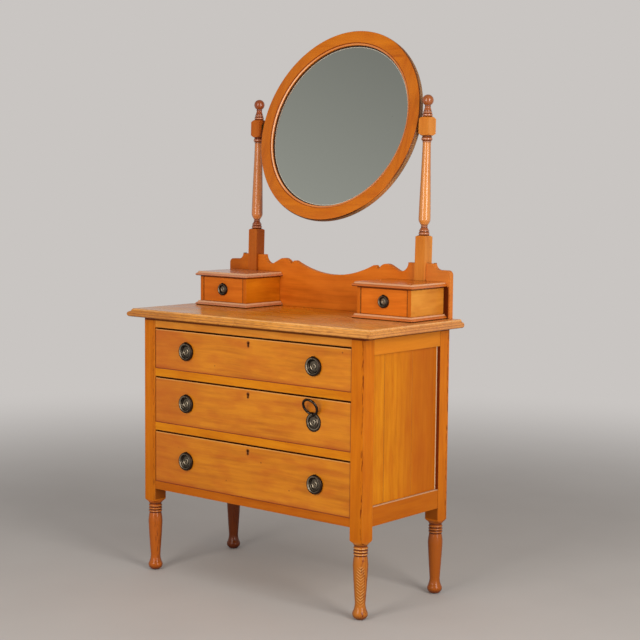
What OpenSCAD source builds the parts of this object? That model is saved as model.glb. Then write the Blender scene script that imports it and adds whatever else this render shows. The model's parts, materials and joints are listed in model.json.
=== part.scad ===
// Dressing table: a chest of three long drawers on turned legs, with two jewel boxes,
// a shaped gallery board and a round mirror that swings between two turned posts.

/* [Carcase] */
// Width over the legs
case_w = 860; // [800:1:960]
// Depth over the legs, front to back
case_d = 402; // [380:1:440]
// Height of the legs, up to the underside of the top
case_h = 793; // [770:1:830]
// Side of the square part of a leg
leg_w = 45; // [42:1:50]
// Length of square leg left below the rails
leg_stub = 34; // [26:1:46]

/* [Turned legs] */
// Widest radius of the ball foot
foot_r = 22; // [19:0.5:22]
// Height of the ball foot's widest line
foot_z = 16; // [14:0.5:18]
// Radius of the flat that stands on the floor
foot_pad_r = 7; // [5:0.5:9]
// Radius of the ankle above the ball foot
ankle_r = 15; // [12:0.5:17]
// Height of the ankle
ankle_z = 46; // [42:1:52]
// Widest radius of the tapered shaft
shank_r = 21.8; // [20:0.2:22.4]
// Distance of that widest line below the beads
shank_down = 30; // [20:1:45]
// Radius of the ring beads
leg_bead_r = 20.8; // [19:0.2:21.5]
// Height of each of the three ring beads
leg_bead_h = 8.4; // [7:0.2:10]
// Number of ring beads on a leg
leg_beads_n = 3; // [2:1:4]
// How far a ring bead stands out
leg_bead_rise = 2.2; // [1:0.1:2.6]
// Height of the groove above the beads
leg_groove_h = 5; // [4:0.5:8]
// Height of the shaped shoulder under the square
shoulder_h = 14; // [9:0.5:18]

/* [Rails and panels] */
// Height of the rail above the top drawer
top_rail_h = 30; // [24:1:34]
// Height of each rail between two drawers
mid_rail_h = 25; // [22:1:28]
// Height of the rail below the bottom drawer
low_rail_h = 25; // [22:1:30]
// Depth of the front rails, front to back
rail_d = 50; // [44:1:60]
// How far the rails stand behind the faces of the legs
rail_set = 1; // [0.5:0.5:3]
// Height of the top rail of each side and of the back
end_top_h = 52; // [46:1:60]
// Height of the bottom rail of each side and of the back
end_low_h = 56; // [48:1:62]
// Thickness of the side rails and back rails
end_rail_t = 24; // [20:1:28]
// Length of the tenons on the rails
tenon_l = 20; // [14:1:24]
// Thickness of the tenons
tenon_t = 10; // [8:0.5:12]
// Wood left above and below each tenon
tenon_set = 4; // [3:0.5:6]
// Distance of the middle of each twin tenon of a front rail from the sides of the leg
twin_in = 12.5; // [12:0.5:14]
// Thickness of the side panels
panel_t = 10; // [8:0.5:12]
// How far the side panels lie behind the faces of the legs
panel_set = 10; // [8:0.5:12]
// How far a panel or a back board enters its grooves
groove_in = 8; // [5:0.5:10]
// Width that shows of the narrow front board of a side panel
narrow_board_w = 60; // [40:1:80]
// Thickness of the back boards
back_t = 8; // [6:0.5:10]
// Distance of the back boards from the rear faces
back_set = 8; // [6:0.5:10]
// Number of back boards
back_boards_n = 6; // [4:1:8]
// Open joint between two boards of a panel or of the back
board_gap = 0.4; // [0.3:0.1:1]

/* [Drawer openings] */
// Height of the opening of the top drawer
top_open_h = 125; // [115:1:130]
// Height of the opening of the middle drawer
mid_open_h = 142; // [132:1:148]
// Height of the opening of the bottom drawer
low_open_h = 160; // [150:1:168]
// Thickness of a drawer runner
runner_t = 22; // [16:1:25]
// How far a runner reaches in under the drawer side
runner_in = 20; // [14:1:30]
// Height of a drawer guide
guide_h = 26; // [16:1:34]
// Height of a drawer stop above its rail
stop_h = 5; // [3:0.5:7]
// Thickness of a drawer stop, front to back
stop_t = 12; // [8:1:16]
// Width of a drawer stop
stop_w = 40; // [30:1:60]
// Distance of each drawer stop from the side of its opening
stop_in = 95; // [75:1:145]
// Clearance between a drawer front and its stops
stop_gap = 0.4; // [0.3:0.1:1]

/* [Long drawers] */
// Thickness of a drawer front
front_t = 20; // [18:0.5:24]
// How far a drawer front lies behind the faces of the legs
front_set = 1.5; // [0.5:0.5:3]
// Gap above a drawer front
gap_top = 4; // [1:0.1:5]
// Gap at each end of a drawer front
gap_end = 1; // [0.6:0.1:2]
// Running clearance under a drawer
lift = 0.4; // [0.3:0.1:0.8]
// Thickness of the drawer sides
side_t = 10; // [8:0.5:13]
// How far the drawer sides end below the top of the front
side_drop = 6; // [3:0.5:10]
// Thickness of the drawer back
box_back_t = 9; // [7:0.5:12]
// Clearance of a nailed back or bottom between its sides
nail_gap = 0.1; // [0.05:0.05:0.3]
// How far the drawer back ends below the sides
back_drop = 6; // [3:0.5:10]
// Gap between a drawer and the back boards
rear_gap = 12; // [8:1:30]
// Thickness of the drawer bottom
bottom_t = 6; // [4:0.5:8]
// Height of the drawer bottom above the lower edge of the sides
bottom_up = 9; // [8:0.5:12]
// How far the drawer bottom enters its grooves
bottom_in = 5; // [3:0.5:6]
// Wood left in front of the dovetails
lap_t = 5; // [4:0.5:7]
// Number of dovetails at each front corner
tails_n = 4; // [3:1:6]
// Slope of a dovetail in degrees
tail_slope = 9; // [6:0.5:12]
// Share of the pitch that a dovetail takes at its widest
tail_share = 0.8; // [0.65:0.01:0.85]

/* [Drawer locks] */
// Width of the lock case
lock_w = 50; // [44:1:60]
// Height of the lock case
lock_h = 34; // [31:1:40]
// Depth of the lock case
lock_d = 11; // [9.5:0.5:13]
// How far the top plate of the lock reaches past the case
lock_lip = 7; // [4:0.5:12]
// Thickness of the top plate of the lock
lock_plate_t = 2; // [1.5:0.5:3]
// Width of the lock bolt
bolt_w = 16; // [12:1:20]
// Thickness of the lock bolt
bolt_t = 5; // [4:0.5:6]
// Height of the lock bolt
bolt_h = 16; // [14:0.5:16.5]
// Travel of the lock bolt
bolt_travel = 7; // [5:0.5:8]
// Clearance of the lock bolt in its case
bolt_gap = 0.3; // [0.3:0.05:0.5]
// Clearance of the lock bolt in the mortise of the rail
mortise_gap = 2; // [1:0.5:3]
// Distance of the keyhole from the top edge of the front
key_drop = 15.5; // [14:0.5:20]
// Radius of the round part of the keyhole
key_r = 4; // [3:0.1:4.5]
// Width of the slot of the keyhole
key_slot_w = 4.5; // [3:0.5:6]
// Length of the slot below the round part
key_slot_h = 7; // [5:0.5:8]

/* [Ring handles] */
// Radius of a long drawer's handle plate
plate_r = 27; // [26:0.5:30]
// Mean radius of a long drawer's ring
ring_r = 23.8; // [22:0.2:24.6]
// Radius of the wire of a long drawer's ring
wire_r = 3.8; // [2.8:0.1:4]
// Distance of the handles from the ends of a drawer front
handle_in = 134; // [105:1:160]
// How far out the bottom drawer's right handle strays, as it was fitted by hand
handle_stray = 9; // [0:1:15]
// Radius of a jewel drawer's handle plate
jewel_plate_r = 18.5; // [18:0.5:20]
// Mean radius of a jewel drawer's ring
jewel_ring_r = 15.8; // [15:0.2:17]
// Radius of the wire of a jewel drawer's ring
jewel_wire_r = 2.8; // [2:0.1:3]
// Thickness of the plate under the ring
plate_t = 1.4; // [1:0.1:2]
// Clearance between the ring and its plate
ring_gap = 0.4; // [0.3:0.1:0.8]
// Distance between the ring and the bead inside it
bead_gap = 1.2; // [0.8:0.1:1.6]
// Height of the dish inside the bead, above the plate
dish_up = 0.6; // [0.3:0.1:1]
// Radius of the boss in the middle of a long drawer's plate
boss_r = 3.2; // [2.4:0.1:3.4]
// Radius of the boss in the middle of a jewel drawer's plate
jewel_boss_r = 2.4; // [1.8:0.1:2.5]
// Clearance of the wire in the eye of its lug
eye_gap = 0.5; // [0.5:0.05:0.9]
// Metal around the eye of the lug
eye_wall = 1.3; // [1:0.1:2]
// Half of the lug's width as a share of the ring's radius
lug_share = 0.13; // [0.1:0.01:0.15]
// Radius of the handle's bolt
stem_r = 2.5; // [2:0.1:3]
// Clearance of the bolt in the drawer front
stem_gap = 0.3; // [0.2:0.05:0.6]
// Height of the nut inside the drawer
nut_h = 4; // [3:0.5:6]
// Radius of the nut across its corners
nut_r = 5.2; // [4.5:0.1:6]
// Length of the bolt past its nut
stem_end = 2; // [1:0.5:3]
// Lean of the raised ring, forward from upright, in degrees
raised_lean = 25; // [20:1:60]

/* [Top board] */
// Thickness of the top
top_t = 25; // [22:1:28]
// Overhang of the top at each side
top_side = 46; // [36:1:52]
// Overhang of the top at the front
top_front = 33; // [26:1:45]
// Overhang of the top at the back
top_back = 9; // [6:1:14]
// Width of the moulding on the edge of the top
top_mould_w = 14; // [11:0.5:18]
// Radius of the rounded nose of the top
top_nose_r = 8.5; // [7:0.5:9.5]

/* [Jewel boxes] */
// Distance of a jewel box from the end of the gallery board
jewel_end = 22; // [14:1:36]
// Width of a jewel box
jewel_w = 195; // [188:1:198]
// Height of a jewel box between its boards
jewel_h = 79; // [74:1:96]
// Depth of a jewel box
jewel_d = 160; // [140:1:180]
// Thickness of a jewel box's base and top boards
jewel_board_t = 14; // [12:0.5:16]
// Overhang of those boards
jewel_over = 12; // [9:0.5:12]
// Width of the moulding on those boards
jewel_mould_w = 8; // [6:0.5:9]
// Radius of the nose of those boards
jewel_nose_r = 4; // [3:0.5:4.5]
// Thickness of the sides of a jewel box
jewel_side_t = 12; // [9:0.5:14]
// Thickness of the back of a jewel box
jewel_back_t = 8; // [6:0.5:10]
// Thickness of a jewel drawer's front
jewel_front_t = 14; // [12:0.5:16]
// How far that front lies behind the edges of the box
jewel_set = 1; // [0.5:0.5:2]
// Thickness of a jewel drawer's sides and back
jewel_wall_t = 7; // [5:0.5:8]
// Thickness of a jewel drawer's bottom
jewel_floor_t = 4; // [3:0.5:5]
// Gap between a jewel drawer and the back of its box
jewel_rear_gap = 4; // [2:0.5:8]

/* [Gallery board] */
// Thickness of the gallery board
gallery_t = 16; // [13:0.5:18]
// How far each end of the gallery board reaches past the legs
gallery_past = 7; // [0:1:14]
// Distance of its rear face from the rear edge of the top
gallery_set = 4.5; // [2:0.5:8]
// Height of the middle dip above the top
dip_z = 108; // [100:1:112]
// Rise from the middle dip to the small peak
dip_rise = 36; // [30:1:38]
// Distance of the small peak from the scroll's crest
peak_in = 50; // [46:1:58]
// Radius of the small peak
peak_r = 9; // [7:0.5:10]
// Depth of the notch beside the small peak
notch_d = 4; // [2:0.5:6]
// Width of that notch
notch_w = 2.5; // [1.5:0.5:4]
// Distance of the scroll's crest from the axis of its mirror post
crest_in = 128; // [125:1:132]
// Height of the crest above the top
crest_z = 151; // [148:1:153]
// Radius of the crest
crest_r = 33; // [30:1:35]
// Height of the seats under the mirror posts above the top
seat_z = 159; // [156:1:162]
// Half of a seat's width
seat_half = 46; // [42:1:50]
// Radius of the hollow between crest and seat
hollow_r = 28; // [24:1:29]
// Height of the end shoulders above the top
end_z = 141; // [136:1:146]
// Radius of the hollow beside the shoulder
cove_r = 20; // [16:1:22]
// Radius of the rounded ends
end_r = 14; // [6:1:18]

/* [Mirror posts] */
// Side of the square parts of a post
post_w = 36; // [34:1:38]
// How far a post stands in front of the gallery board
post_proud = 7; // [5:0.5:10]
// Distance of the posts' axes from the outsides of the legs
post_in = 98; // [92:0.5:99]
// Backward rake of the posts in degrees
post_rake = 1.4; // [0:0.1:2]
// Height of the lower block above the seat
block_h = 81; // [70:1:90]
// Height over which the lower block is cut back to round
square_end_h = 4; // [3:0.5:6]
// Height over which each end of the upper block is cut back to round
block_end_h = 7; // [5:0.5:9]
// Length of the turned part between the blocks
spindle_h = 292; // [283:1:310]
// Height of the upper block
pivot_block_h = 55; // [52:1:60]
// Height of the mirror's pivots above the middle of the upper block
pivot_up = 6; // [0:0.5:8]
// Radius of the ring beads of a post
collar_r = 16.6; // [15.5:0.1:17]
// Height of the large bead on the lower block
base_bead_h = 10; // [7:0.5:12]
// Height of the small bead above it
small_bead_h = 4.5; // [3:0.5:6]
// Height of the hollow below the neck
neck_hollow_h = 7.5; // [6:0.5:10]
// Height of the thin ring on the neck and under the upper block
thin_ring_h = 2.5; // [2:0.5:4]
// Height over which the foot of the shaft rounds out to its widest line
shaft_foot_h = 13; // [10:0.5:20]
// Height of the collar under the upper block
collar_h = 10; // [8:0.5:14]
// Height of the bead under the collar
collar_bead_h = 4; // [3:0.5:6]
// Height of the fillets between the turned members
fillet_h = 1; // [0.5:0.25:1.5]
// How far the beads stand out from their fillets
post_bead_rise = 2; // [1.2:0.1:2.4]
// Radius of the necks of a post
neck_r = 9.4; // [8:0.1:11]
// Widest radius of the tapered shaft
belly_r = 17.8; // [16:0.1:18]
// Radius at the top of the tapered shaft
taper_r = 12.3; // [11:0.1:13.5]
// Height of the turned foot of the finial
finial_foot_h = 34; // [32:1:38]
// Radius of the neck under the ball
finial_neck_r = 8.5; // [7:0.1:9.5]
// Radius of the ball finial
ball_r = 16.7; // [15:0.1:17.5]

/* [Mirror] */
// Space between the mirror frame and each post
post_space = 9.5; // [6:0.5:16]
// Width of the mirror frame's wood, from its edge to the glass
frame_w = 46.5; // [40:0.5:52]
// Thickness of the mirror frame
frame_t = 22; // [20:0.5:26]
// Depth of the glass behind the face of the frame
glass_set = 11; // [9:0.5:12]
// Width of the lip that covers the edge of the glass
lip_w = 8; // [6:0.5:9]
// Thickness of that lip at the glass
lip_t = 2.5; // [2:0.25:3]
// Width of the bead that runs round the glass
slip_w = 7.5; // [6:0.5:9]
// How far that bead lies below the face of the frame
slip_drop = 2; // [1.5:0.25:3]
// Crown of the face of the frame
frame_bow = 0.6; // [0.2:0.1:1.5]
// Rounding of the front outer edge of the frame
frame_edge_r = 2.5; // [1.5:0.25:4]
// Depth of the groove beside the bead
quirk_d = 1.6; // [1:0.1:2]
// Number of reeds round the edge of the frame
reeds_n = 3; // [2:1:4]
// How far the reeds stand out from their grooves
reed_rise = 0.6; // [0.3:0.05:0.6]
// Rounding of the rear outer edge of the frame
frame_back_r = 5; // [3:0.5:6]
// Thickness of the glass
glass_t = 4; // [3:0.5:5]
// Width of the bevel on the glass
bevel_w = 4; // [3:0.5:20]
// Thickness of the glass at its bevelled rim
bevel_rim = 2.75; // [1:0.25:2.75]
// Clearance around the glass
glass_gap = 1; // [0.5:0.25:2]
// Thickness of the backing board
backing_t = 4; // [3:0.5:5]
// Lean of the mirror, its top backward, in degrees
mirror_lean = 17.2; // [0:0.2:30]
// Radius of the pivot pins
pin_r = 4; // [3:0.25:5]
// Running clearance of a pin in its socket
pin_gap = 0.05; // [0.03:0.01:0.08]
// Depth of the sockets in the posts
socket_in = 16; // [12:1:22]
// Free length of a socket past the end of its pin
socket_end = 4; // [2:0.5:5]
// Depth of the pins in the mirror frame
pin_in = 14; // [10:1:20]
// Wall of the socket tube
socket_wall = 3; // [2:0.5:4]
// Radius of the socket's flange
flange_r = 9; // [8:0.5:12]
// Thickness of the flange and of the pivot plate
pivot_plate_t = 2; // [1.5:0.25:3]
// Length of the pivot plate along the edge of the frame
pivot_plate_l = 44; // [34:1:54]
// Width of the pivot plate
pivot_plate_w = 11; // [9:0.5:12]
// How deep the pivot plate is let into the frame
pivot_let = 1.6; // [1.2:0.1:1.8]

/* [Hidden] */

// Colours as the photograph shows them
honey = "#c97a35";
amber = "#b9682a";
pale = "#d9a766";
bronze = "#4a3a2c";
brass = "#b08d4a";
silvered = "#8b9089";

// Smoothness of the large and the small revolved parts, and points of an arc in an outline
turn_fn = 72;
wheel_fn = 144;
pin_fn = 48;
arc_n = 8;
over = 1;

// Carcase: x to the right, y to the back from the faces of the legs, z up from the floor
half_w = case_w / 2;
open_x = half_w - leg_w;
mid_low_z = case_h - top_rail_h - top_open_h - mid_rail_h;
top_floor_z = mid_low_z + mid_rail_h;
mid_floor_z = mid_low_z - mid_open_h;
low_floor_z = mid_floor_z - mid_rail_h - low_open_h;
low_rail_z = low_floor_z - low_rail_h;
square_z = low_rail_z - leg_stub;
end_low_z = low_rail_z + rail_set;
panel_low_z = end_low_z + end_low_h;
panel_top_z = case_h - end_top_h;
leg_inner_y = case_d - leg_w;
end_inner_x = half_w - rail_set - end_rail_t;
board_y = case_d - back_set - back_t;
front_rails = [
    [case_h - top_rail_h, top_rail_h], [mid_low_z, mid_rail_h],
    [mid_floor_z - mid_rail_h, mid_rail_h], [low_rail_z, low_rail_h]
];
end_rails = [[panel_top_z, end_top_h], [end_low_z, end_low_h]];

// Long drawers
face_y = front_set;
front_rear_y = face_y + front_t;
front_half = open_x - gap_end;
drawer_rear_y = board_y - rear_gap;
wall_x = front_half - side_t;
stop_x = open_x - stop_in;
handle_x = front_half - handle_in;

// Top, gallery and jewel boxes
post_x = half_w - post_in;
gallery_half = half_w + gallery_past;
crest_x = post_x - crest_in;
peak_x = crest_x - peak_in;
jewel_x = gallery_half - jewel_end - jewel_w;
top_z = case_h + top_t;
top_rear_y = case_d + top_back;
gallery_rear_y = top_rear_y - gallery_set;
gallery_y = gallery_rear_y - gallery_t;
jewel_y = gallery_y - jewel_d;
jewel_floor_z = top_z + jewel_board_t;
jewel_ceiling_z = jewel_floor_z + jewel_h;
jewel_top_z = jewel_ceiling_z + jewel_board_t;
jewel_face_y = jewel_y + jewel_set;
jewel_half = jewel_w / 2 - jewel_side_t - gap_end;
jewel_mid_x = jewel_x + jewel_w / 2;

// Handles
function ring_stands(wire) = plate_t + ring_gap + wire;
ring_up = ring_stands(wire_r);

// Posts and mirror
post_y = gallery_y - post_proud + post_w / 2;
seat_top_z = top_z + seat_z;
spindle_z = seat_top_z + block_h;
pivot_block_z = spindle_z + spindle_h;
finial_z = pivot_block_z + pivot_block_h;
ball_z = finial_z + finial_foot_h + sqrt(ball_r * ball_r - finial_neck_r * finial_neck_r);
pivot_rise = pivot_block_z + pivot_block_h / 2 + pivot_up - seat_top_z;
pivot_y = post_y + pivot_rise * sin(post_rake);
pivot_z = seat_top_z + pivot_rise * cos(post_rake);
post_inner_x = post_x - post_w / 2;
frame_r = post_inner_x - post_space;
sight_r = frame_r - frame_w;
face_v = frame_t / 2;
glass_v = face_v - glass_set;
rebate_r = sight_r + lip_w;
seat_x = frame_r - pivot_let;

// The origin lies under the middle of the whole object, on the floor
raised_front_y = face_y - ring_up - 2 * ring_r * sin(raised_lean) - wire_r;
front_most_y = min(-top_front, raised_front_y);
mirror_back = max([for (p = frame_outline()) p[0] * sin(mirror_lean) - p[1] * cos(mirror_lean)]);
rear_most_y = max(top_rear_y, pivot_y + mirror_back);
origin_y = (front_most_y + rear_most_y) / 2;

// Curves for the outlines, each a list of points
function arc(c, r, a0, a1, n = arc_n) =
    [for (i = [0:n]) let (a = a0 + (a1 - a0) * i / n) [c[0] + r * cos(a), c[1] + r * sin(a)]];
function bead(z0, z1, r, rise, n = arc_n) =
    [for (i = [0:n]) [r + rise * sin(180 * i / n), z0 + (z1 - z0) * i / n]];
function ogee(p, q, n = arc_n) =
    [for (i = [0:n]) [p[0] + (q[0] - p[0]) * (1 - cos(180 * i / n)) / 2, p[1] + (q[1] - p[1]) * i / n]];
function bulge(p, q, n = arc_n) =
    [for (i = [0:n]) [p[0] + (q[0] - p[0]) * sin(90 * i / n), p[1] + (q[1] - p[1]) * i / n]];
function slim(p, q, n = arc_n) =
    [for (i = [0:n]) let (t = i / n)
        [q[0] + (p[0] - q[0]) * (0.6 * (1 - t) + 0.2 * (1 + cos(180 * t))), p[1] + (q[1] - p[1]) * t]];
function swell(p, q, n = arc_n) =
    [for (i = [1:n]) let (t = i / n)
        [p[0] + (q[0] - p[0]) * (0.75 * t + 0.25 * sin(90 * t)), p[1] + (q[1] - p[1]) * t]];
function ease(p, q, n = arc_n) =
    [for (i = [1:n]) [q[0] + (p[0] - q[0]) * cos(90 * i / n), p[1] + (q[1] - p[1]) * i / n]];
function dip(p, q, n = arc_n) =
    [for (i = [1:n]) let (t = i / n) [q[0] + (p[0] - q[0]) * pow(1 - t, 2), p[1] + (q[1] - p[1]) * t]];

module in_frame() translate([0, -origin_y, 0]) children();
module mirrored_pair() {
    children();
    mirror([1, 0, 0]) children();
}
module block(low, high) translate(low) cube(high - low);
module turned(outline, low, high, fn = turn_fn) rotate_extrude($fn = fn)
    polygon(concat([[0, low]], outline, [[0, high]]));
// A round bar or bore along z
module rod(r, length, low = 0) translate([0, 0, low]) cylinder(r = r, h = length, $fn = pin_fn);

// Legs: a square post whose lower end is turned on the same axis
function foot_ball_r() = (foot_z * foot_z + pow(foot_r - foot_pad_r, 2)) / (2 * (foot_r - foot_pad_r));
function leg_outline() =
    let (
        rho = foot_ball_r(),
        c = [foot_r - rho, foot_z],
        ball_end = 35,
        groove_top_z = square_z - shoulder_h,
        groove_z = groove_top_z - leg_groove_h,
        bead_core_r = leg_bead_r - leg_bead_rise,
        beads_z = groove_z - leg_beads_n * leg_bead_h,
        widest_z = beads_z - shank_down,
        outside_r = leg_w * sqrt(0.5) + over
    ) concat(
        arc(c, rho, -asin(foot_z / rho), ball_end, 12),
        dip(c + rho * [cos(ball_end), sin(ball_end)], [ankle_r, ankle_z], 6),
        swell([ankle_r, ankle_z], [shank_r, widest_z], 10),
        ease([shank_r, widest_z], [bead_core_r, beads_z - 1], 6),
        [for (k = [0:leg_beads_n - 1]) let (z = beads_z + k * leg_bead_h)
            each bead(z, z + leg_bead_h, bead_core_r, leg_bead_rise, 6)],
        [[bead_core_r, groove_top_z]],
        ogee([leg_bead_r, groove_top_z], [outside_r, square_z]),
        [[outside_r, case_h]]
    );
module leg_blank() intersection() {
    turned(leg_outline(), 0, case_h);
    block([-leg_w / 2, -leg_w / 2, 0], [leg_w / 2, leg_w / 2, case_h]);
}
// A leg at the corner where side is -1 or 1, and rear is 0 or 1
module leg(side, rear) in_frame() color(honey) difference() {
    translate([side * (half_w - leg_w / 2), rear * (case_d - leg_w) + leg_w / 2, 0]) leg_blank();
    side_panel_space(side);
    if (rear == 1) back_board_space();
    tenons();
}
module side_panel_space(side) {
    x = side > 0 ? half_w - panel_set - panel_t : -half_w + panel_set;
    translate([x, leg_w - groove_in, panel_low_z - groove_in])
        cube([panel_t, case_d - 2 * leg_w + 2 * groove_in, panel_top_z - panel_low_z + 2 * groove_in]);
}
module back_board_space() {
    block([-open_x - groove_in, board_y, panel_low_z - groove_in],
        [open_x + groove_in, board_y + back_t, panel_top_z + groove_in]);
}

// Tenons on the rails, which also cut their mortises in the legs
module front_tenons(low, height) mirrored_pair() for (y = [twin_in, leg_w - twin_in])
    block([open_x, y - tenon_t / 2, low + tenon_set],
        [open_x + tenon_l, y + tenon_t / 2, low + height - tenon_set]);
module side_tenons(low, height) {
    x = half_w - rail_set - end_rail_t / 2;
    for (y = [leg_w - tenon_l, leg_inner_y]) block([x - tenon_t / 2, y, low + tenon_set],
        [x + tenon_t / 2, y + tenon_l, low + height - tenon_set]);
}
module back_tenons(low, height) mirrored_pair() {
    y = case_d - rail_set - end_rail_t / 2;
    block([open_x, y - tenon_t / 2, low + tenon_set],
        [open_x + tenon_l, y + tenon_t / 2, low + height - tenon_set]);
}
module tenons() {
    for (rail = front_rails) front_tenons(rail[0], rail[1]);
    for (rail = end_rails) {
        mirrored_pair() side_tenons(rail[0], rail[1]);
        back_tenons(rail[0], rail[1]);
    }
}

// Boards with a moulding on the front and both ends; u runs inward from the edge
function moulding(w, t, nose) = concat(
    arc([nose, nose], nose, 270, 180, 6),
    arc([nose, nose], nose, 180, 110, 4),
    [for (i = [0:arc_n]) let (s = i / arc_n)
        [nose * 0.9 + (w - nose * 0.9) * s, 2 * nose + (t - 2 * nose) * (1 - cos(180 * s)) / 2]]
);
// Seen from the front: x across, z up
module moulded_ends(width, t, w, nose) {
    edge = moulding(w, t, nose);
    n = len(edge) - 1;
    polygon(concat([for (p = edge) [p[0], p[1]]], [for (i = [n:-1:0]) [width - edge[i][0], edge[i][1]]]));
}
// Seen from the side: y back, z up
module moulded_front(depth, t, w, nose) polygon(concat(moulding(w, t, nose), [[depth, t], [depth, 0]]));
module moulded_board(low, high, t, w, nose) {
    size = high - low;
    translate([low[0], low[1], low[2]]) intersection() {
        translate([0, size[1], 0]) rotate([90, 0, 0]) linear_extrude(size[1])
            moulded_ends(size[0], t, w, nose);
        rotate([90, 0, 90]) linear_extrude(size[0]) moulded_front(size[1], t, w, nose);
    }
}
module top_board() in_frame() color(honey)
    moulded_board([-half_w - top_side, -top_front, case_h], [half_w + top_side, top_rear_y, top_z],
        top_t, top_mould_w, top_nose_r);

// Front rails, with a mortise for each lock bolt
module bolt_mortise(z) {
    y = front_rear_y - lock_d / 2;
    block([-bolt_w / 2 - mortise_gap, y - bolt_t / 2 - mortise_gap, z - over],
        [bolt_w / 2 + mortise_gap, y + bolt_t / 2 + mortise_gap, z + bolt_travel + mortise_gap]);
}
module front_rail(i) {
    low = front_rails[i][0];
    height = front_rails[i][1];
    block([-open_x, rail_set, low], [open_x, rail_d, low + height]);
    front_tenons(low, height);
}
module mortised_rail(i) difference() {
    front_rail(i);
    bolt_mortise(front_rails[i][0]);
}
module front_top_rail() in_frame() color(honey) mortised_rail(0);
module drawer_rails() in_frame() color(honey) for (i = [1, 2]) mortised_rail(i);
module front_bottom_rail() in_frame() color(honey) front_rail(3);

// Sides and back: two rails each, grooved for the panel or the boards
module side_rails() in_frame() color(honey) mirrored_pair() difference() {
    for (rail = end_rails) {
        block([end_inner_x, leg_w, rail[0]], [half_w - rail_set, leg_inner_y, rail[0] + rail[1]]);
        side_tenons(rail[0], rail[1]);
    }
    side_panel_space(1);
}
module side_panels() in_frame() color(amber) mirrored_pair() {
    y0 = leg_w - groove_in;
    y1 = leg_w + narrow_board_w;
    y3 = leg_inner_y + groove_in;
    y2 = (y1 + y3) / 2;
    for (span = [[y0, y1], [y1 + board_gap, y2], [y2 + board_gap, y3]]) intersection() {
        side_panel_space(1);
        block([0, span[0], 0], [half_w, span[1], case_h]);
    }
}
module back_rails() in_frame() color(pale) difference() {
    for (rail = end_rails) {
        block([-open_x, case_d - rail_set - end_rail_t, rail[0]],
            [open_x, case_d - rail_set, rail[0] + rail[1]]);
        back_tenons(rail[0], rail[1]);
    }
    back_board_space();
}
module back_boards() in_frame() color(pale) {
    left = -open_x - groove_in;
    pitch = (2 * (open_x + groove_in) + board_gap) / back_boards_n;
    for (i = [0:back_boards_n - 1]) intersection() {
        back_board_space();
        block([left + i * pitch, 0, 0], [left + (i + 1) * pitch - board_gap, case_d, case_h]);
    }
}

// What carries and guides the drawers
floors = [top_floor_z, mid_floor_z, low_floor_z];
module drawer_runners() in_frame() color(pale) mirrored_pair() for (z = floors)
    block([open_x - runner_in, rail_d, z - runner_t], [end_inner_x, leg_inner_y, z]);
module drawer_guides() in_frame() color(pale) {
    mirrored_pair() {
        for (z = floors) block([open_x, leg_w, z], [end_inner_x, leg_inner_y, z + guide_h]);
        block([open_x - runner_in, rail_d, case_h - top_rail_h], [end_inner_x, leg_inner_y, case_h]);
    }
    mirrored_pair() for (z = floors)
        block([stop_x, front_rear_y + stop_gap, z],
            [stop_x + stop_w, front_rear_y + stop_gap + stop_t, z + stop_h]);
}

// A long drawer over the floor z, in an opening of height h
module dovetails(z, h) {
    low = z + lift;
    height = h - lift - gap_top - side_drop;
    pitch = height / tails_n;
    reach = front_t - lap_t;
    wide = pitch * tail_share;
    narrow = wide - 2 * reach * tan(tail_slope);
    for (i = [0:tails_n - 1]) translate([0, front_rear_y, low + (i + 0.5) * pitch])
        rotate([90, 0, 90]) linear_extrude(side_t)
            polygon([[0, -narrow / 2], [-reach, -wide / 2], [-reach, wide / 2], [0, narrow / 2]]);
}
module bottom_space(z) block([-wall_x - bottom_in, front_rear_y - bottom_in, z + lift + bottom_up],
    [wall_x + bottom_in, drawer_rear_y, z + lift + bottom_up + bottom_t]);
module keyhole(z_top) translate([0, 0, z_top - key_drop]) {
    translate([0, front_rear_y, 0]) rotate([90, 0, 0]) rod(key_r, front_t + over);
    block([-key_slot_w / 2, face_y - over, -key_r - key_slot_h], [key_slot_w / 2, front_rear_y, 0]);
}
module lock_case(z_top) {
    block([-lock_w / 2, front_rear_y - lock_d, z_top - lock_h], [lock_w / 2, front_rear_y, z_top]);
    block([-lock_w / 2 - lock_lip, front_rear_y - lock_d, z_top - lock_plate_t],
        [lock_w / 2 + lock_lip, front_rear_y, z_top]);
}
function handle_xs(stray = 0) = [-handle_x, handle_x + stray];
module drawer_front(z, h, stray = 0) in_frame() color(honey) {
    z_top = z + h - gap_top;
    difference() {
        block([-front_half, face_y, z + lift], [front_half, front_rear_y, z_top]);
        mirrored_pair() translate([wall_x, 0, 0]) dovetails(z, h);
        bottom_space(z);
        lock_case(z_top);
        keyhole(z_top);
        for (x = handle_xs(stray)) translate([x, front_rear_y, handle_z(z, h)])
            rotate([90, 0, 0]) rod(stem_r + stem_gap, front_t + 2 * over, -over);
    }
}
module drawer_sides(z, h) in_frame() color(pale) {
    z_side = z + h - gap_top - side_drop;
    mirrored_pair() difference() {
        translate([wall_x, 0, 0]) {
            block([0, front_rear_y, z + lift], [side_t, drawer_rear_y, z_side]);
            dovetails(z, h);
        }
        bottom_space(z);
    }
    block([-wall_x + nail_gap, drawer_rear_y - box_back_t, z + lift + bottom_up + bottom_t],
        [wall_x - nail_gap, drawer_rear_y, z_side - back_drop]);
}
module drawer_bottom(z) in_frame() color(pale) bottom_space(z);
module lock_pocket(z_top) {
    y = front_rear_y - lock_d / 2;
    block([-bolt_w / 2 - bolt_gap, y - bolt_t / 2 - bolt_gap, z_top - lock_h + lock_plate_t],
        [bolt_w / 2 + bolt_gap, y + bolt_t / 2 + bolt_gap, z_top + over]);
}
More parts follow.
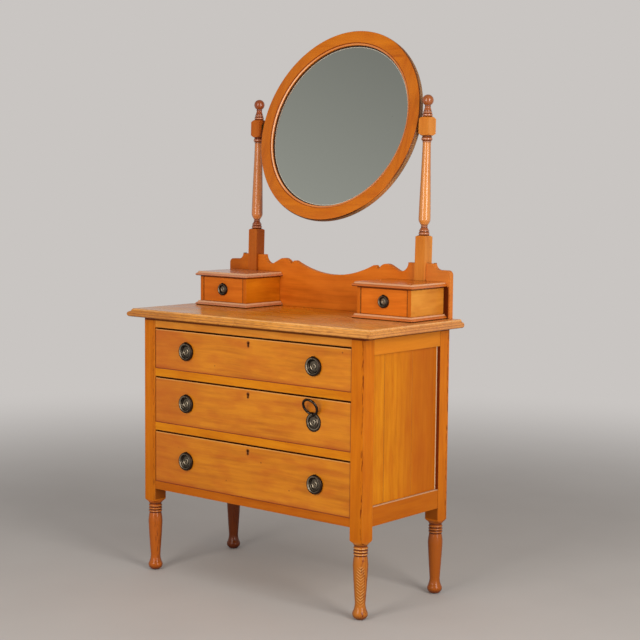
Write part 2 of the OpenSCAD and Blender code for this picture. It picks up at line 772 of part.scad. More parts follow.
module drawer_lock(z, h) in_frame() color(brass) {
    z_top = z + h - gap_top;
    difference() {
        lock_case(z_top);
        lock_pocket(z_top);
        intersection() {
            keyhole(z_top);
            block([-lock_w, 0, 0], [lock_w, front_rear_y - lock_d / 2, case_h]);
        }
    }
}
module lock_bolt(z, h) in_frame() color(brass) {
    z_top = z + h - gap_top;
    y = front_rear_y - lock_d / 2;
    block([-bolt_w / 2, y - bolt_t / 2, z_top - bolt_h], [bolt_w / 2, y + bolt_t / 2, z_top]);
}

// Ring handles: r runs out from the middle, v stands out from the face of the drawer
function handle_z(z, h) = z + (h + lift - gap_top) / 2;
function bump(r0, r1, low, rise, n = 6) =
    [for (i = [0:n]) [r0 + (r1 - r0) * i / n, low + rise * sin(180 * i / n)]];
function plate_outline(r, ring, wire, boss) =
    let (
        bead_r = ring - wire - bead_gap,
        dish = plate_t + dish_up,
        rim = plate_t * 0.3
    ) concat(
        [[r, 0], [r, plate_t - rim], [r - rim, plate_t], [bead_r, plate_t]],
        bump(bead_r, bead_r * 0.8, dish - 0.2, wire),
        bump(bead_r * 0.58, bead_r * 0.34, dish, wire * 0.8),
        bump(boss, 0, dish, boss, 12)
    );
module plate_disc(r, ring, wire, boss) rotate([90, 0, 0]) rotate_extrude($fn = turn_fn)
    polygon(concat([[0, 0]], plate_outline(r, ring, wire, boss)));
module handle_plate(r, ring, wire, boss, thick) {
    up = ring_stands(wire);
    eye = wire + eye_gap;
    lug = ring * lug_share;
    difference() {
        union() {
            plate_disc(r, ring, wire, boss);
            intersection() {
                union() {
                    translate([-lug, -up, ring]) rotate([0, 90, 0]) rod(eye + eye_wall, 2 * lug);
                    block([-lug, -up, ring - eye], [lug, 0, ring + eye]);
                }
                block([-r, -2 * r, 0], [r, 0, 2 * r]);
            }
        }
        translate([-lug, -up, ring]) rotate([0, 90, 0]) rod(eye, 2 * (lug + over), -over);
    }
    // The bolt through the front, and its nut
    tail = thick + nut_h + stem_end;
    translate([0, tail, 0]) rotate([90, 0, 0]) rod(stem_r, tail + plate_t / 2);
    translate([0, thick + nut_h, 0]) rotate([90, 0, 0]) difference() {
        cylinder(r = nut_r, h = nut_h, $fn = 6);
        rod(stem_r + nail_gap, nut_h + 2 * over, -over);
    }
}
// A ring, turned about its eye by angle from hanging
module handle_ring(ring, wire, angle) translate([0, -ring_stands(wire), ring]) rotate([-angle, 0, 0])
    translate([0, 0, -ring]) rotate([90, 0, 0])
        rotate_extrude($fn = turn_fn) translate([ring, 0]) circle(r = wire, $fn = 32);
module drawer_plates(z, h, stray = 0) in_frame() color(bronze) for (x = handle_xs(stray))
    translate([x, face_y, handle_z(z, h)]) handle_plate(plate_r, ring_r, wire_r, boss_r, front_t);
// The left ring has i = 0 and the right one i = 1
module drawer_ring(z, h, i, angle = 0, stray = 0) in_frame() color(bronze)
    translate([handle_xs(stray)[i], face_y, handle_z(z, h)]) handle_ring(ring_r, wire_r, angle);

// Gallery board: the right half of its outline, then the left half mirrored
function dip_r() = (peak_x * peak_x + dip_rise * dip_rise) / (2 * dip_rise);
function gallery_half_outline() =
    let (
        a_dip = asin(peak_x / dip_r()),
        peak_c = [peak_x + peak_r * sin(a_dip), dip_z + dip_rise - peak_r * cos(a_dip)],
        crest_c = [crest_x, crest_z - crest_r],
        hollow_c = [post_x - seat_half - hollow_r, seat_z],
        gap = hollow_c - crest_c,
        away = atan2(gap[1], gap[0]),
        a_tan = away + acos((crest_r + hollow_r) / norm(gap)),
        peak_end = 15,
        peak_low = peak_c[1] + peak_r * sin(peak_end),
        a_crest = 180 - asin((peak_low - notch_d / 2 - crest_c[1]) / crest_r),
        cove_c = [post_x + seat_half + cove_r, end_z + cove_r]
    ) concat(
        arc([0, dip_z + dip_r()], dip_r(), 270, 270 + a_dip, 14),
        arc(peak_c, peak_r, 90 + a_dip, peak_end, 7),
        [[crest_c[0] + crest_r * cos(a_crest) - notch_w, peak_low - notch_d]],
        arc(crest_c, crest_r, a_crest, a_tan, 12),
        arc(hollow_c, hollow_r, a_tan + 180, 360, 10),
        [[post_x + seat_half, seat_z]],
        arc(cove_c, cove_r, 180, 270, 8),
        arc([gallery_half - end_r, end_z - end_r], end_r, 90, 0, 6),
        [[gallery_half, 0]]
    );
module gallery_board() in_frame() color(honey) {
    half = gallery_half_outline();
    n = len(half) - 1;
    translate([0, gallery_rear_y, top_z]) rotate([90, 0, 0]) linear_extrude(gallery_t)
        polygon(concat(half, [for (i = [n:-1:0]) [-half[i][0], half[i][1]]]));
}

// Mirror posts: square blocks left on a turned spindle, bridled over the gallery board
function post_outline() =
    let (
        outside_r = post_w * sqrt(0.5) + over,
        end_r = post_w / 2 - fillet_h / 2,
        core_r = collar_r - post_bead_rise,
        small_z = spindle_z + base_bead_h + 2 * fillet_h,
        hollow_z = small_z + small_bead_h + fillet_h,
        neck_z = hollow_z + neck_hollow_h,
        cup_z = neck_z + thin_ring_h + 2 * fillet_h,
        shaft_z = cup_z + 4 * fillet_h,
        shaft_foot_r = belly_r * 0.7,
        thin_z = pivot_block_z - thin_ring_h - fillet_h,
        collar_z = thin_z - collar_h - fillet_h,
        ring_z = collar_z - collar_bead_h - fillet_h,
        cap_z = finial_z + base_bead_h,
        cone_z = cap_z + small_bead_h + 2 * fillet_h,
        cone_top_z = finial_z + finial_foot_h - thin_ring_h - 3 * fillet_h
    ) concat(
        [[outside_r, jewel_top_z - over], [outside_r, spindle_z - square_end_h], [end_r, spindle_z]],
        bead(spindle_z + fillet_h / 2, small_z - 1.5 * fillet_h, core_r, post_bead_rise, 6),
        bead(small_z, hollow_z - fillet_h, core_r - fillet_h / 2, post_bead_rise - fillet_h / 2, 6),
        ogee([core_r - post_bead_rise, hollow_z], [neck_r, neck_z], 6),
        bead(neck_z + fillet_h, cup_z - fillet_h, neck_r + fillet_h / 2, fillet_h, 5),
        ogee([neck_r, cup_z], [shaft_foot_r, shaft_z], 5),
        bulge([shaft_foot_r, shaft_z + fillet_h / 2], [belly_r, shaft_z + shaft_foot_h], 8),
        slim([belly_r, shaft_z + shaft_foot_h + 8 * fillet_h], [taper_r, ring_z - fillet_h], 10),
        bead(ring_z, ring_z + collar_bead_h, taper_r, post_bead_rise * 0.6, 5),
        bead(collar_z, collar_z + collar_h, core_r, post_bead_rise, 8),
        bead(thin_z, thin_z + thin_ring_h, core_r - fillet_h, fillet_h, 5),
        [[end_r, pivot_block_z], [outside_r, pivot_block_z + block_end_h]],
        [[outside_r, finial_z - block_end_h], [end_r, finial_z]],
        bead(finial_z + fillet_h, cap_z, core_r - fillet_h, post_bead_rise * 0.8, 6),
        bead(cap_z + fillet_h, cone_z - fillet_h, core_r - 2 * fillet_h, post_bead_rise * 0.5, 5),
        ogee([core_r - 3 * fillet_h, cone_z], [finial_neck_r + fillet_h / 4, cone_top_z], 6),
        bead(cone_top_z + fillet_h, cone_top_z + fillet_h + thin_ring_h, finial_neck_r, fillet_h * 1.2, 5),
        arc([0, ball_z], ball_r, -acos(finial_neck_r / ball_r), 90, 16)
    );
module post_blank() intersection() {
    turned(post_outline(), jewel_top_z - over, ball_z + ball_r);
    block([-post_w / 2, -post_w / 2, jewel_top_z - over], [post_w / 2, post_w / 2, ball_z + ball_r]);
}
module mirror_post(side) in_frame() color(honey) difference() {
    translate([side * post_x, post_y, seat_top_z]) rotate([-post_rake, 0, 0])
        translate([0, 0, -seat_top_z]) post_blank();
    block([side * post_x - post_w, gallery_y, 0], [side * post_x + post_w, gallery_rear_y, seat_top_z]);
    block([side * post_x - post_w, post_y - post_w, 0],
        [side * post_x + post_w, post_y + post_w, jewel_top_z]);
    socket_space(side);
}
module at_pivot(side)
    translate([side * post_inner_x, pivot_y, pivot_z]) rotate([0, side * 90, 0]) children();
module socket_space(side) at_pivot(side) rod(pin_r + pin_gap + socket_wall, socket_in + over, -over);
module pivot_sockets() in_frame() color(brass) for (side = [-1, 1]) at_pivot(side) difference() {
    union() {
        rod(pin_r + pin_gap + socket_wall, socket_in);
        rod(flange_r, pivot_plate_t, -pivot_plate_t);
    }
    rod(pin_r + pin_gap, socket_in + pivot_plate_t, -pivot_plate_t - over);
}

// Jewel boxes: base board, two sides with a back, and a top board
module jewel_board(side, low) in_frame() color(honey) {
    x0 = side > 0 ? jewel_x - jewel_over : -jewel_x - jewel_w - jewel_over;
    moulded_board([x0, jewel_y - jewel_over, low],
        [x0 + jewel_w + 2 * jewel_over, gallery_y, low + jewel_board_t],
        jewel_board_t, jewel_mould_w, jewel_nose_r);
}
module jewel_sides(side) in_frame() color(honey) translate([side * jewel_mid_x, 0, 0]) {
    mirrored_pair() block([jewel_w / 2 - jewel_side_t, jewel_y, jewel_floor_z],
        [jewel_w / 2, gallery_y, jewel_ceiling_z]);
    block([-jewel_w / 2 + jewel_side_t + nail_gap, gallery_y - jewel_back_t, jewel_floor_z],
        [jewel_w / 2 - jewel_side_t - nail_gap, gallery_y, jewel_ceiling_z]);
}
module jewel_front(side) in_frame() color(honey) translate([side * jewel_mid_x, 0, 0]) difference() {
    block([-jewel_half, jewel_face_y, jewel_floor_z + lift],
        [jewel_half, jewel_face_y + jewel_front_t, jewel_ceiling_z - gap_end]);
    translate([0, jewel_face_y + jewel_front_t, jewel_handle_z()]) rotate([90, 0, 0])
        rod(stem_r + stem_gap, jewel_front_t + 2 * over, -over);
}
function jewel_handle_z() = (jewel_floor_z + lift + jewel_ceiling_z - gap_end) / 2;
module jewel_box(side) in_frame() color(pale) translate([side * jewel_mid_x, 0, 0]) {
    y0 = jewel_face_y + jewel_front_t;
    y1 = gallery_y - jewel_back_t - jewel_rear_gap;
    z0 = jewel_floor_z + lift;
    z1 = jewel_ceiling_z - side_drop;
    inner = jewel_half - jewel_wall_t;
    fit = inner - nail_gap;
    mirrored_pair() block([inner, y0, z0], [jewel_half, y1, z1]);
    block([-fit, y1 - jewel_wall_t, z0 + jewel_floor_t + nail_gap], [fit, y1, z1]);
    block([-fit, y0, z0], [fit, y1, z0 + jewel_floor_t]);
}
module jewel_plate(side) in_frame() color(bronze)
    translate([side * jewel_mid_x, jewel_face_y, jewel_handle_z()])
        handle_plate(jewel_plate_r, jewel_ring_r, jewel_wire_r, jewel_boss_r, jewel_front_t);
module jewel_ring(side) in_frame() color(bronze)
    translate([side * jewel_mid_x, jewel_face_y, jewel_handle_z()])
        handle_ring(jewel_ring_r, jewel_wire_r, 0);

// Mirror: r runs out from its middle, v stands out towards the front
function frame_outline() =
    let (
        slip_r = sight_r + slip_w,
        bead_r = slip_w / 2,
        bead_v = face_v - slip_drop - bead_r,
        face_low = face_v - frame_bow,
        core_r = frame_r - reed_rise,
        edge_c = [core_r - frame_edge_r, face_low - frame_edge_r],
        bow_w = edge_c[0] - slip_r,
        reed_low = -face_v + frame_back_r,
        steps = 5,
        reed_h = (edge_c[1] - reed_low) / reeds_n
    ) concat(
        [[rebate_r, -face_v], [rebate_r, glass_v], [sight_r, glass_v], [sight_r, glass_v + lip_t]],
        arc([sight_r + bead_r, bead_v], bead_r, 175, 35, 8),
        [[slip_r, face_v - slip_drop - quirk_d]],
        [for (i = [0:7]) [slip_r + bow_w * i / 8, face_low + frame_bow * sin(22.5 * i)]],
        arc(edge_c, frame_edge_r, 90, 0, 4),
        [for (i = [1:steps * reeds_n - 1])
            [core_r + reed_rise * abs(sin(180 * i / steps)), edge_c[1] - reed_h * i / steps]],
        arc([core_r - frame_back_r, reed_low], frame_back_r, 0, -90, 5)
    );
module in_mirror() in_frame() translate([0, pivot_y, pivot_z]) rotate([-mirror_lean, 0, 0]) children();
// What the pivot plates are let into, and where their pins stand
module at_seat(side) rotate([0, 0, side > 0 ? 0 : 180]) translate([seat_x, 0, 0]) children();
module pivot_plate(thick)
    block([0, -pivot_plate_w / 2, -pivot_plate_l / 2], [thick, pivot_plate_w / 2, pivot_plate_l / 2]);
module mirror_frame() in_mirror() color(honey) difference() {
    rotate([90, 0, 0]) rotate_extrude($fn = wheel_fn) polygon(frame_outline());
    for (side = [-1, 1]) at_seat(side) {
        pivot_plate(frame_t);
        rotate([0, -90, 0]) rod(pin_r, pin_in);
    }
}
module mirror_glass() in_mirror() color(silvered) rotate([90, 0, 0]) {
    r = rebate_r - glass_gap;
    low = glass_v - glass_t;
    turned([[r, low], [r, low + bevel_rim], [r - bevel_w - lip_w, glass_v]], low, glass_v, wheel_fn);
}
module mirror_backing() in_mirror() color(pale) rotate([90, 0, 0])
    translate([0, 0, glass_v - glass_t - backing_t])
        cylinder(r = rebate_r - glass_gap, h = backing_t, $fn = wheel_fn);
module mirror_pivots() in_mirror() color(brass) for (side = [-1, 1]) at_seat(side) {
    pivot_plate(pivot_plate_t);
    rotate([0, 90, 0]) rod(pin_r, pin_in + post_inner_x - seat_x + socket_in - socket_end, -pin_in);
}

leg(-1, 0);  // leg_front_left
leg(1, 0);  // leg_front_right
leg(-1, 1);  // leg_rear_left
leg(1, 1);  // leg_rear_right
top_board();
front_top_rail();
drawer_rails();
front_bottom_rail();
side_rails();
side_panels();
back_rails();
back_boards();
drawer_runners();
drawer_guides();
gallery_board();
mirror_post(-1);  // mirror_post_left
mirror_post(1);  // mirror_post_right
pivot_sockets();
jewel_board(-1, jewel_ceiling_z);  // jewel_left_top
jewel_board(-1, top_z);  // jewel_left_base
jewel_sides(-1);  // jewel_left_sides
jewel_board(1, jewel_ceiling_z);  // jewel_right_top
jewel_board(1, top_z);  // jewel_right_base
jewel_sides(1);  // jewel_right_sides
mirror_frame();
mirror_glass();
mirror_backing();
mirror_pivots();
drawer_front(top_floor_z, top_open_h);  // top_drawer_front
drawer_sides(top_floor_z, top_open_h);  // top_drawer_sides
drawer_bottom(top_floor_z);  // top_drawer_bottom
drawer_lock(top_floor_z, top_open_h);  // top_drawer_lock
lock_bolt(top_floor_z, top_open_h);  // top_drawer_bolt
drawer_plates(top_floor_z, top_open_h);  // top_drawer_plates
drawer_ring(top_floor_z, top_open_h, 0);  // top_drawer_ring_left
drawer_ring(top_floor_z, top_open_h, 1);  // top_drawer_ring_right
drawer_front(mid_floor_z, mid_open_h);  // middle_drawer_front
drawer_sides(mid_floor_z, mid_open_h);  // middle_drawer_sides
drawer_bottom(mid_floor_z);  // middle_drawer_bottom
drawer_lock(mid_floor_z, mid_open_h);  // middle_drawer_lock
lock_bolt(mid_floor_z, mid_open_h);  // middle_drawer_bolt
drawer_plates(mid_floor_z, mid_open_h);  // middle_drawer_plates
drawer_ring(mid_floor_z, mid_open_h, 0);  // middle_drawer_ring_left
drawer_ring(mid_floor_z, mid_open_h, 1, 180 - raised_lean);  // middle_drawer_ring_right
drawer_front(low_floor_z, low_open_h, handle_stray);  // bottom_drawer_front
drawer_sides(low_floor_z, low_open_h);  // bottom_drawer_sides
drawer_bottom(low_floor_z);  // bottom_drawer_bottom
drawer_lock(low_floor_z, low_open_h);  // bottom_drawer_lock
lock_bolt(low_floor_z, low_open_h);  // bottom_drawer_bolt
drawer_plates(low_floor_z, low_open_h, handle_stray);  // bottom_drawer_plates
drawer_ring(low_floor_z, low_open_h, 0);  // bottom_drawer_ring_left
drawer_ring(low_floor_z, low_open_h, 1, 0, handle_stray);  // bottom_drawer_ring_right
jewel_front(-1);  // jewel_left_drawer_front
jewel_box(-1);  // jewel_left_drawer_box
jewel_plate(-1);  // jewel_left_drawer_plate
jewel_ring(-1);  // jewel_left_drawer_ring
jewel_front(1);  // jewel_right_drawer_front
jewel_box(1);  // jewel_right_drawer_box
jewel_plate(1);  // jewel_right_drawer_plate
jewel_ring(1);  // jewel_right_drawer_ring
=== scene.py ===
import json
from math import cos, pi, radians, sin

import bmesh
import bpy
from bpy.props import FloatProperty, FloatVectorProperty, PointerProperty, StringProperty
from bpy.types import Operator, Panel, PropertyGroup
from mathutils import Matrix, Vector


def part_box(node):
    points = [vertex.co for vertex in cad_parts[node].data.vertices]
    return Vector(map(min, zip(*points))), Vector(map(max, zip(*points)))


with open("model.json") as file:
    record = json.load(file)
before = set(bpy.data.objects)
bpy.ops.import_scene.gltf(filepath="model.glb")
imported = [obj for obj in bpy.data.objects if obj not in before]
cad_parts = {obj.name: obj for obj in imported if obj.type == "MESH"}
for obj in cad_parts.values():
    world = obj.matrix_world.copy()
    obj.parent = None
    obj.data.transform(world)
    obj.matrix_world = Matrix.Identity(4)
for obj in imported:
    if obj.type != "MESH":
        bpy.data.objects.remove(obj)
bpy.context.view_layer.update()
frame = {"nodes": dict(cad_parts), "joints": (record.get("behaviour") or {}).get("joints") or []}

bl_info = {
    "name": "Dressing Table",
    "version": (1, 0, 0),
    "blender": (4, 5, 0),
    "location": "View3D > Sidebar > Dressing Table",
    "description": "Polishes and dresses a chest of drawers with a swing mirror",
    "category": "Object",
}

NODES = frame["nodes"]
MM = 0.001
SIDES = ("left", "right")
DRAWERS = ("top", "middle", "bottom")

# Turns that bring the grain of a board along x
ALONG = {"X": (0, 0, 0), "Y": (0, 0, -pi / 2), "Z": (0, pi / 2, 0)}

# Scales of the patterns in the wood, per metre along the grain and across it: streaks some 10 to 20 mm
# wide, clouds as wide as a hand, fibres about 1 mm wide, 30 mm patches of thick polish, cells with a
# pit here and there, and chips 2 mm wide
STREAKS = (4.5, 72, 72)
CLOUDS = (7.5, 12, 12)
FIBRES = (10, 850, 850)
PATCHES = (11, 34, 34)
PITS = (24, 36, 36)
CHIPS = (45, 420, 420)

# Lines of the CAD model that dirt, wear, painted shade and painted highlights follow, in metres: heights
# on a leg, where its square part ends and on the three beads under it
FOOT_TOP = 0.227
FOOT_BEADS = (0.187, 0.1954, 0.204)
FOOT_HOLLOWS = (0.1828, 0.1912, 0.1996)
# Middle and half length of the herringbone on the front right foot
FIGURE_MIDDLE, FIGURE_HALF = 0.0975, 0.055
# Heights of the side panels between their rails, and of the undersides of the front and side rails
PANEL_LOW, PANEL_HIGH = 0.317, 0.742
FRONT_RAIL_LOW, SIDE_RAIL_LOW = 0.261, 0.262
# Heights on a mirror post: its shaft, its turned parts, their knobs, crests and hollows
POST_SHAFT = (1.089, 1.334)
POST_TURNED = ((1.060, 1.351), (1.408, 1.6))
POST_KNOBS = ((1.0600, 1.0880), (1.3320, 1.3500), (1.4070, 1.5))
POST_CRESTS = (1.063, 1.072, 1.0855, 1.332, 1.341, 1.410, 1.4185)
POST_HOLLOWS = (1.0588, 1.069, 1.0825, 1.089, 1.3345, 1.346, 1.3495, 1.4055, 1.414, 1.4215, 1.4375)
# Radii on the mirror: rim of the glass and the shade on it, foot of the frame's bead, the bead, the
# groove outside it, and the edge with its reeds, whose grooves and crests lie at these depths
GLASS_RIM, GLASS_SHADE, GLASS_END = 0.2532, 0.2550, 0.27
FRAME_FOOT, FRAME_BEAD, FRAME_GROOVE = (0.2560, 0.2578), (0.2594, 0.2636), (0.2648, 0.2662)
FRAME_EDGE, FRAME_END = 0.3018, 0.31
REED_GROOVES = (-0.0076, -0.0033, 0.0014, 0.0060)
REED_CRESTS = (-0.0054, -0.0010, 0.0037)
MIRROR_LEAN = radians(17.2)
# Radius of a handle's plate, the keyhole below the top of its front, and the gap over a front
PLATE_R = 27 * MM
KEY_DROP = 15.5 * MM
FRONT_GAP = 4 * MM

# Light and floor: a soft box's height, its distance and its angle above the horizon, and the floor's
# radius with the ring where it fades into the backdrop
BOX_HEIGHT, BOX_AWAY, BOX_RISE = 2.8, 3.6, radians(15)
FLOOR_R, FADE_FROM, FADE_TO = 14, 1.2, 4.2


# Settings that a user would change

class WoodSettings(PropertyGroup):
    """Colours and polish of the satin walnut"""
    golden: StringProperty(name="Golden", description="Drawer fronts and panels, sRGB", default="#d07d10")
    orange: StringProperty(name="Orange", description="Posts, rails and mirror frame, sRGB", default="#c76d0d")
    red: StringProperty(name="Red", description="Jewel boxes and gallery board, sRGB", default="#d06e1a")
    turned: StringProperty(name="Turned", description="Left mirror post, sRGB", default="#ae5a1a")
    bare: StringProperty(name="Bare", description="Unpolished wood inside and behind, sRGB", default="#c9a26c")
    # The rubbed colour is also painted as highlights on the crests of the legs' beads
    rubbed: StringProperty(name="Rubbed", description="Wood where the polish is worn off, sRGB", default="#e0a45c")
    thick: StringProperty(name="Thick", description="Wood under the thickest polish, sRGB", default="#b8540c")
    # This colour is real dirt and wax, and also painted shade in corners, gaps, hollows and under overhangs
    dirt_and_shade: StringProperty(name="Dirt", description="Old wax and dirt in the corners, sRGB", default="#4a0e02")
    wear: FloatProperty(name="Wear", description="Width of the rubbed edges", default=1.6 * MM, unit="LENGTH")


class MetalSettings(PropertyGroup):
    """Colours of the handles, locks and pivots"""
    bronze: StringProperty(name="Bronze", description="Bronzed brass in the hollows, sRGB", default="#3a312b")
    rubbed: StringProperty(name="Rubbed", description="Bronze rubbed bright on the ridges, sRGB", default="#b5a892")
    brass: StringProperty(name="Brass", description="Dull brass of locks and pivots, sRGB", default="#a98a4e")


class MirrorSettings(PropertyGroup):
    """The silvered glass"""
    silver: StringProperty(name="Silver", description="Colour of the old silvering, sRGB", default="#cdd4cb")


class StudioSettings(PropertyGroup):
    """Camera, lamps and floor"""
    aim: FloatVectorProperty(name="Aim", description="Point that the camera looks at", subtype="TRANSLATION",
                             unit="LENGTH", default=(0.105427, -0.038775, 0.805783))
    azimuth: FloatProperty(name="Azimuth", description="Camera's turn to the right", default=39.7147)
    elevation: FloatProperty(name="Elevation", description="Camera's angle above the horizon", default=5.5425)
    roll: FloatProperty(name="Roll", description="Camera's turn about its own axis", default=0.5161)
    distance: FloatProperty(name="Distance", description="Camera's distance", default=4.47491, unit="LENGTH")
    lens: FloatProperty(name="Lens", description="Focal length on a 36 mm frame", default=85.16)
    backdrop: StringProperty(name="Backdrop", description="Colour behind the chest, sRGB", default="#c9c5c2")
    floor: StringProperty(name="Floor", description="Colour of the floor, sRGB", default="#c2bfbc")
    sky: FloatProperty(name="Sky", description="Level of the room's light overhead", default=0.36)
    left: FloatProperty(name="Left", description="Power of the left soft box", default=62.0, unit="POWER")
    right: FloatProperty(name="Right", description="Power of the right soft box", default=84.0, unit="POWER")


class DressingTableSettings(PropertyGroup):
    """All settings of the dressing table"""
    wood: PointerProperty(type=WoodSettings)
    metal: PointerProperty(type=MetalSettings)
    mirror: PointerProperty(type=MirrorSettings)
    studio: PointerProperty(type=StudioSettings)


# Materials

def linear(code):
    """Turn an sRGB hex colour into linear red, green, blue and alpha."""
    parts = [int(code[i:i + 2], 16) / 255 for i in (1, 3, 5)]
    return tuple(p / 12.92 if p <= 0.04045 else ((p + 0.055) / 1.055) ** 2.4 for p in parts) + (1.0,)


def shade(colour, *factors):
    """A linear colour with its red, green and blue multiplied."""
    return tuple(min(c * f, 1.0) for c, f in zip(colour, factors)) + (1.0,)


def add(tree, kind, inputs=None, out=0, stops=None, **settings):
    """Add a node with its settings, fill its inputs with values or links, and return one output, or all
    of its outputs where out is None."""
    node = tree.nodes.new(kind)
    for key, value in settings.items():
        setattr(node, key, value)
    for key, value in (inputs or {}).items():
        if isinstance(value, bpy.types.NodeSocket):
            tree.links.new(value, node.inputs[key])
        else:
            node.inputs[key].default_value = value
    for i, (place, colour) in enumerate(stops or ()):
        elements = node.color_ramp.elements
        element = elements[i] if i < 2 else elements.new(place)
        element.position = place
        element.color = colour if len(colour) == 4 else (*colour, 1)
    return node.outputs[out] if node.outputs and out is not None else node.outputs


def material(name):
    """Start a material and return it with its empty node tree."""
    made = bpy.data.materials.new(name)
    made.use_nodes = True
    made.node_tree.nodes.clear()
    return made, made.node_tree


def between(tree, value, low, high, soft):
    """1 where value lies from low to high, falling to 0 over soft on either side."""
    rise = add(tree, "ShaderNodeMapRange", {0: value, 1: low - soft, 2: low}, interpolation_type="SMOOTHSTEP")
    fall = add(tree, "ShaderNodeMapRange", {0: value, 1: high, 2: high + soft, 3: 1.0, 4: 0.0},
               interpolation_type="SMOOTHSTEP")
    return add(tree, "ShaderNodeMath", {0: rise, 1: fall}, operation="MULTIPLY")


def tinge(tree, colour, mask, tone, amount, broken=None):
    """Mix a tone into the colour where the mask is, perhaps broken up by a noise."""
    level = add(tree, "ShaderNodeMath", {0: mask, 1: amount}, operation="MULTIPLY")
    if broken:
        level = add(tree, "ShaderNodeMath", {0: level, 1: broken}, operation="MULTIPLY")
    return add(tree, "ShaderNodeMix", {0: level, 6: colour, 7: linear(tone)}, out=2, data_type="RGBA")


def zones(tree, colour, at, lines, broken=None):
    """Tinge the colour in zones, each a run of one coordinate, perhaps kept to runs of others."""
    for axis, low, high, soft, tone, amount, *more in lines:
        mask = between(tree, at[axis], low, high, soft)
        for other, start, end, *blur in more:
            inside = between(tree, at[other], start, end, *(blur or (soft,)))
            mask = add(tree, "ShaderNodeMath", {0: mask, 1: inside}, operation="MULTIPLY")
        colour = tinge(tree, colour, mask, tone, amount, broken)
    return colour


def line(axis, middle, half, soft, tone, amount, *more):
    """A zone that is a line across one axis."""
    return (axis, middle - half, middle + half, soft, tone, amount, *more)


def noise(tree, place, scales, detail, rough=0.5):
    """A noise drawn out along the grain."""
    drawn = add(tree, "ShaderNodeMapping", {"Vector": place, "Scale": scales})
    return add(tree, "ShaderNodeTexNoise", {"Vector": drawn, "Scale": 1.0, "Detail": detail, "Roughness": rough})


def sawn(tree, place, at, grain, shift, joints, joint_axis, crossed, lean, ring):
    """Turn the coordinates so that x runs along the grain, and shift them at each joint of two boards."""
    along = place
    if lean:
        along = add(tree, "ShaderNodeMapping", {"Vector": place, "Rotation": (lean, 0, 0)})
    if crossed:
        behind = add(tree, "ShaderNodeMath", {0: at[1], 1: crossed}, operation="GREATER_THAN")
        across = add(tree, "ShaderNodeCombineXYZ", {0: at[1], 1: at[0], 2: at[2]})
        along = add(tree, "ShaderNodeMix", {0: behind, 4: place, 5: across}, out=1, data_type="VECTOR")
    if ring:
        along, at["ring"], at["deep"] = round_grain(tree, place, ring)
    if joints:
        jump = 0.0
        for edge in joints:
            past = add(tree, "ShaderNodeMath", {0: at[joint_axis], 1: edge}, operation="GREATER_THAN")
            jump = add(tree, "ShaderNodeMath", {0: past, 1: 0.37, 2: jump}, operation="MULTIPLY_ADD")
        jump = add(tree, "ShaderNodeCombineXYZ", {0: jump, 1: jump, 2: jump})
        along = add(tree, "ShaderNodeVectorMath", {0: along, 1: jump}, operation="ADD")
    return add(tree, "ShaderNodeMapping", {"Vector": along, "Rotation": ALONG[grain],
                                           "Location": (shift, 0.61 * shift, -0.43 * shift)})


def facing(tree, place, axis):
    """1 on the side of a turned piece that faces front right, and -1 on the other."""
    turn = radians(bpy.context.scene.dressing_table.studio.azimuth)
    aside = add(tree, "ShaderNodeVectorMath", {0: place, 1: axis}, operation="SUBTRACT")
    aside = add(tree, "ShaderNodeVectorMath", {0: aside, 1: (1, 1, 0)}, operation="MULTIPLY")
    aside = add(tree, "ShaderNodeVectorMath", {0: aside}, operation="NORMALIZE")
    return add(tree, "ShaderNodeVectorMath", {0: aside, 1: (sin(turn), -cos(turn), 0)}, out="Value",
               operation="DOT_PRODUCT")


def pitted(tree, colour, grained, pits):
    """Small dark pits and bruises, about 2 mm across, in the share of the cells above pits."""
    dots = add(tree, "ShaderNodeMapping", {"Vector": grained, "Scale": PITS})
    cells = add(tree, "ShaderNodeTexVoronoi", {"Vector": dots, "Scale": 1.0})
    kind = add(tree, "ShaderNodeTexVoronoi", {"Vector": dots, "Scale": 1.0}, out="Color")
    kind = add(tree, "ShaderNodeSeparateXYZ", {0: kind})
    few = add(tree, "ShaderNodeMath", {0: kind, 1: pits}, operation="GREATER_THAN")
    pit = add(tree, "ShaderNodeMapRange", {0: cells, 1: 0.03, 2: 0.07, 3: 1.0, 4: 0.0})
    return tinge(tree, colour, pit, bpy.context.scene.dressing_table.wood.dirt_and_shade, 0.8, few)


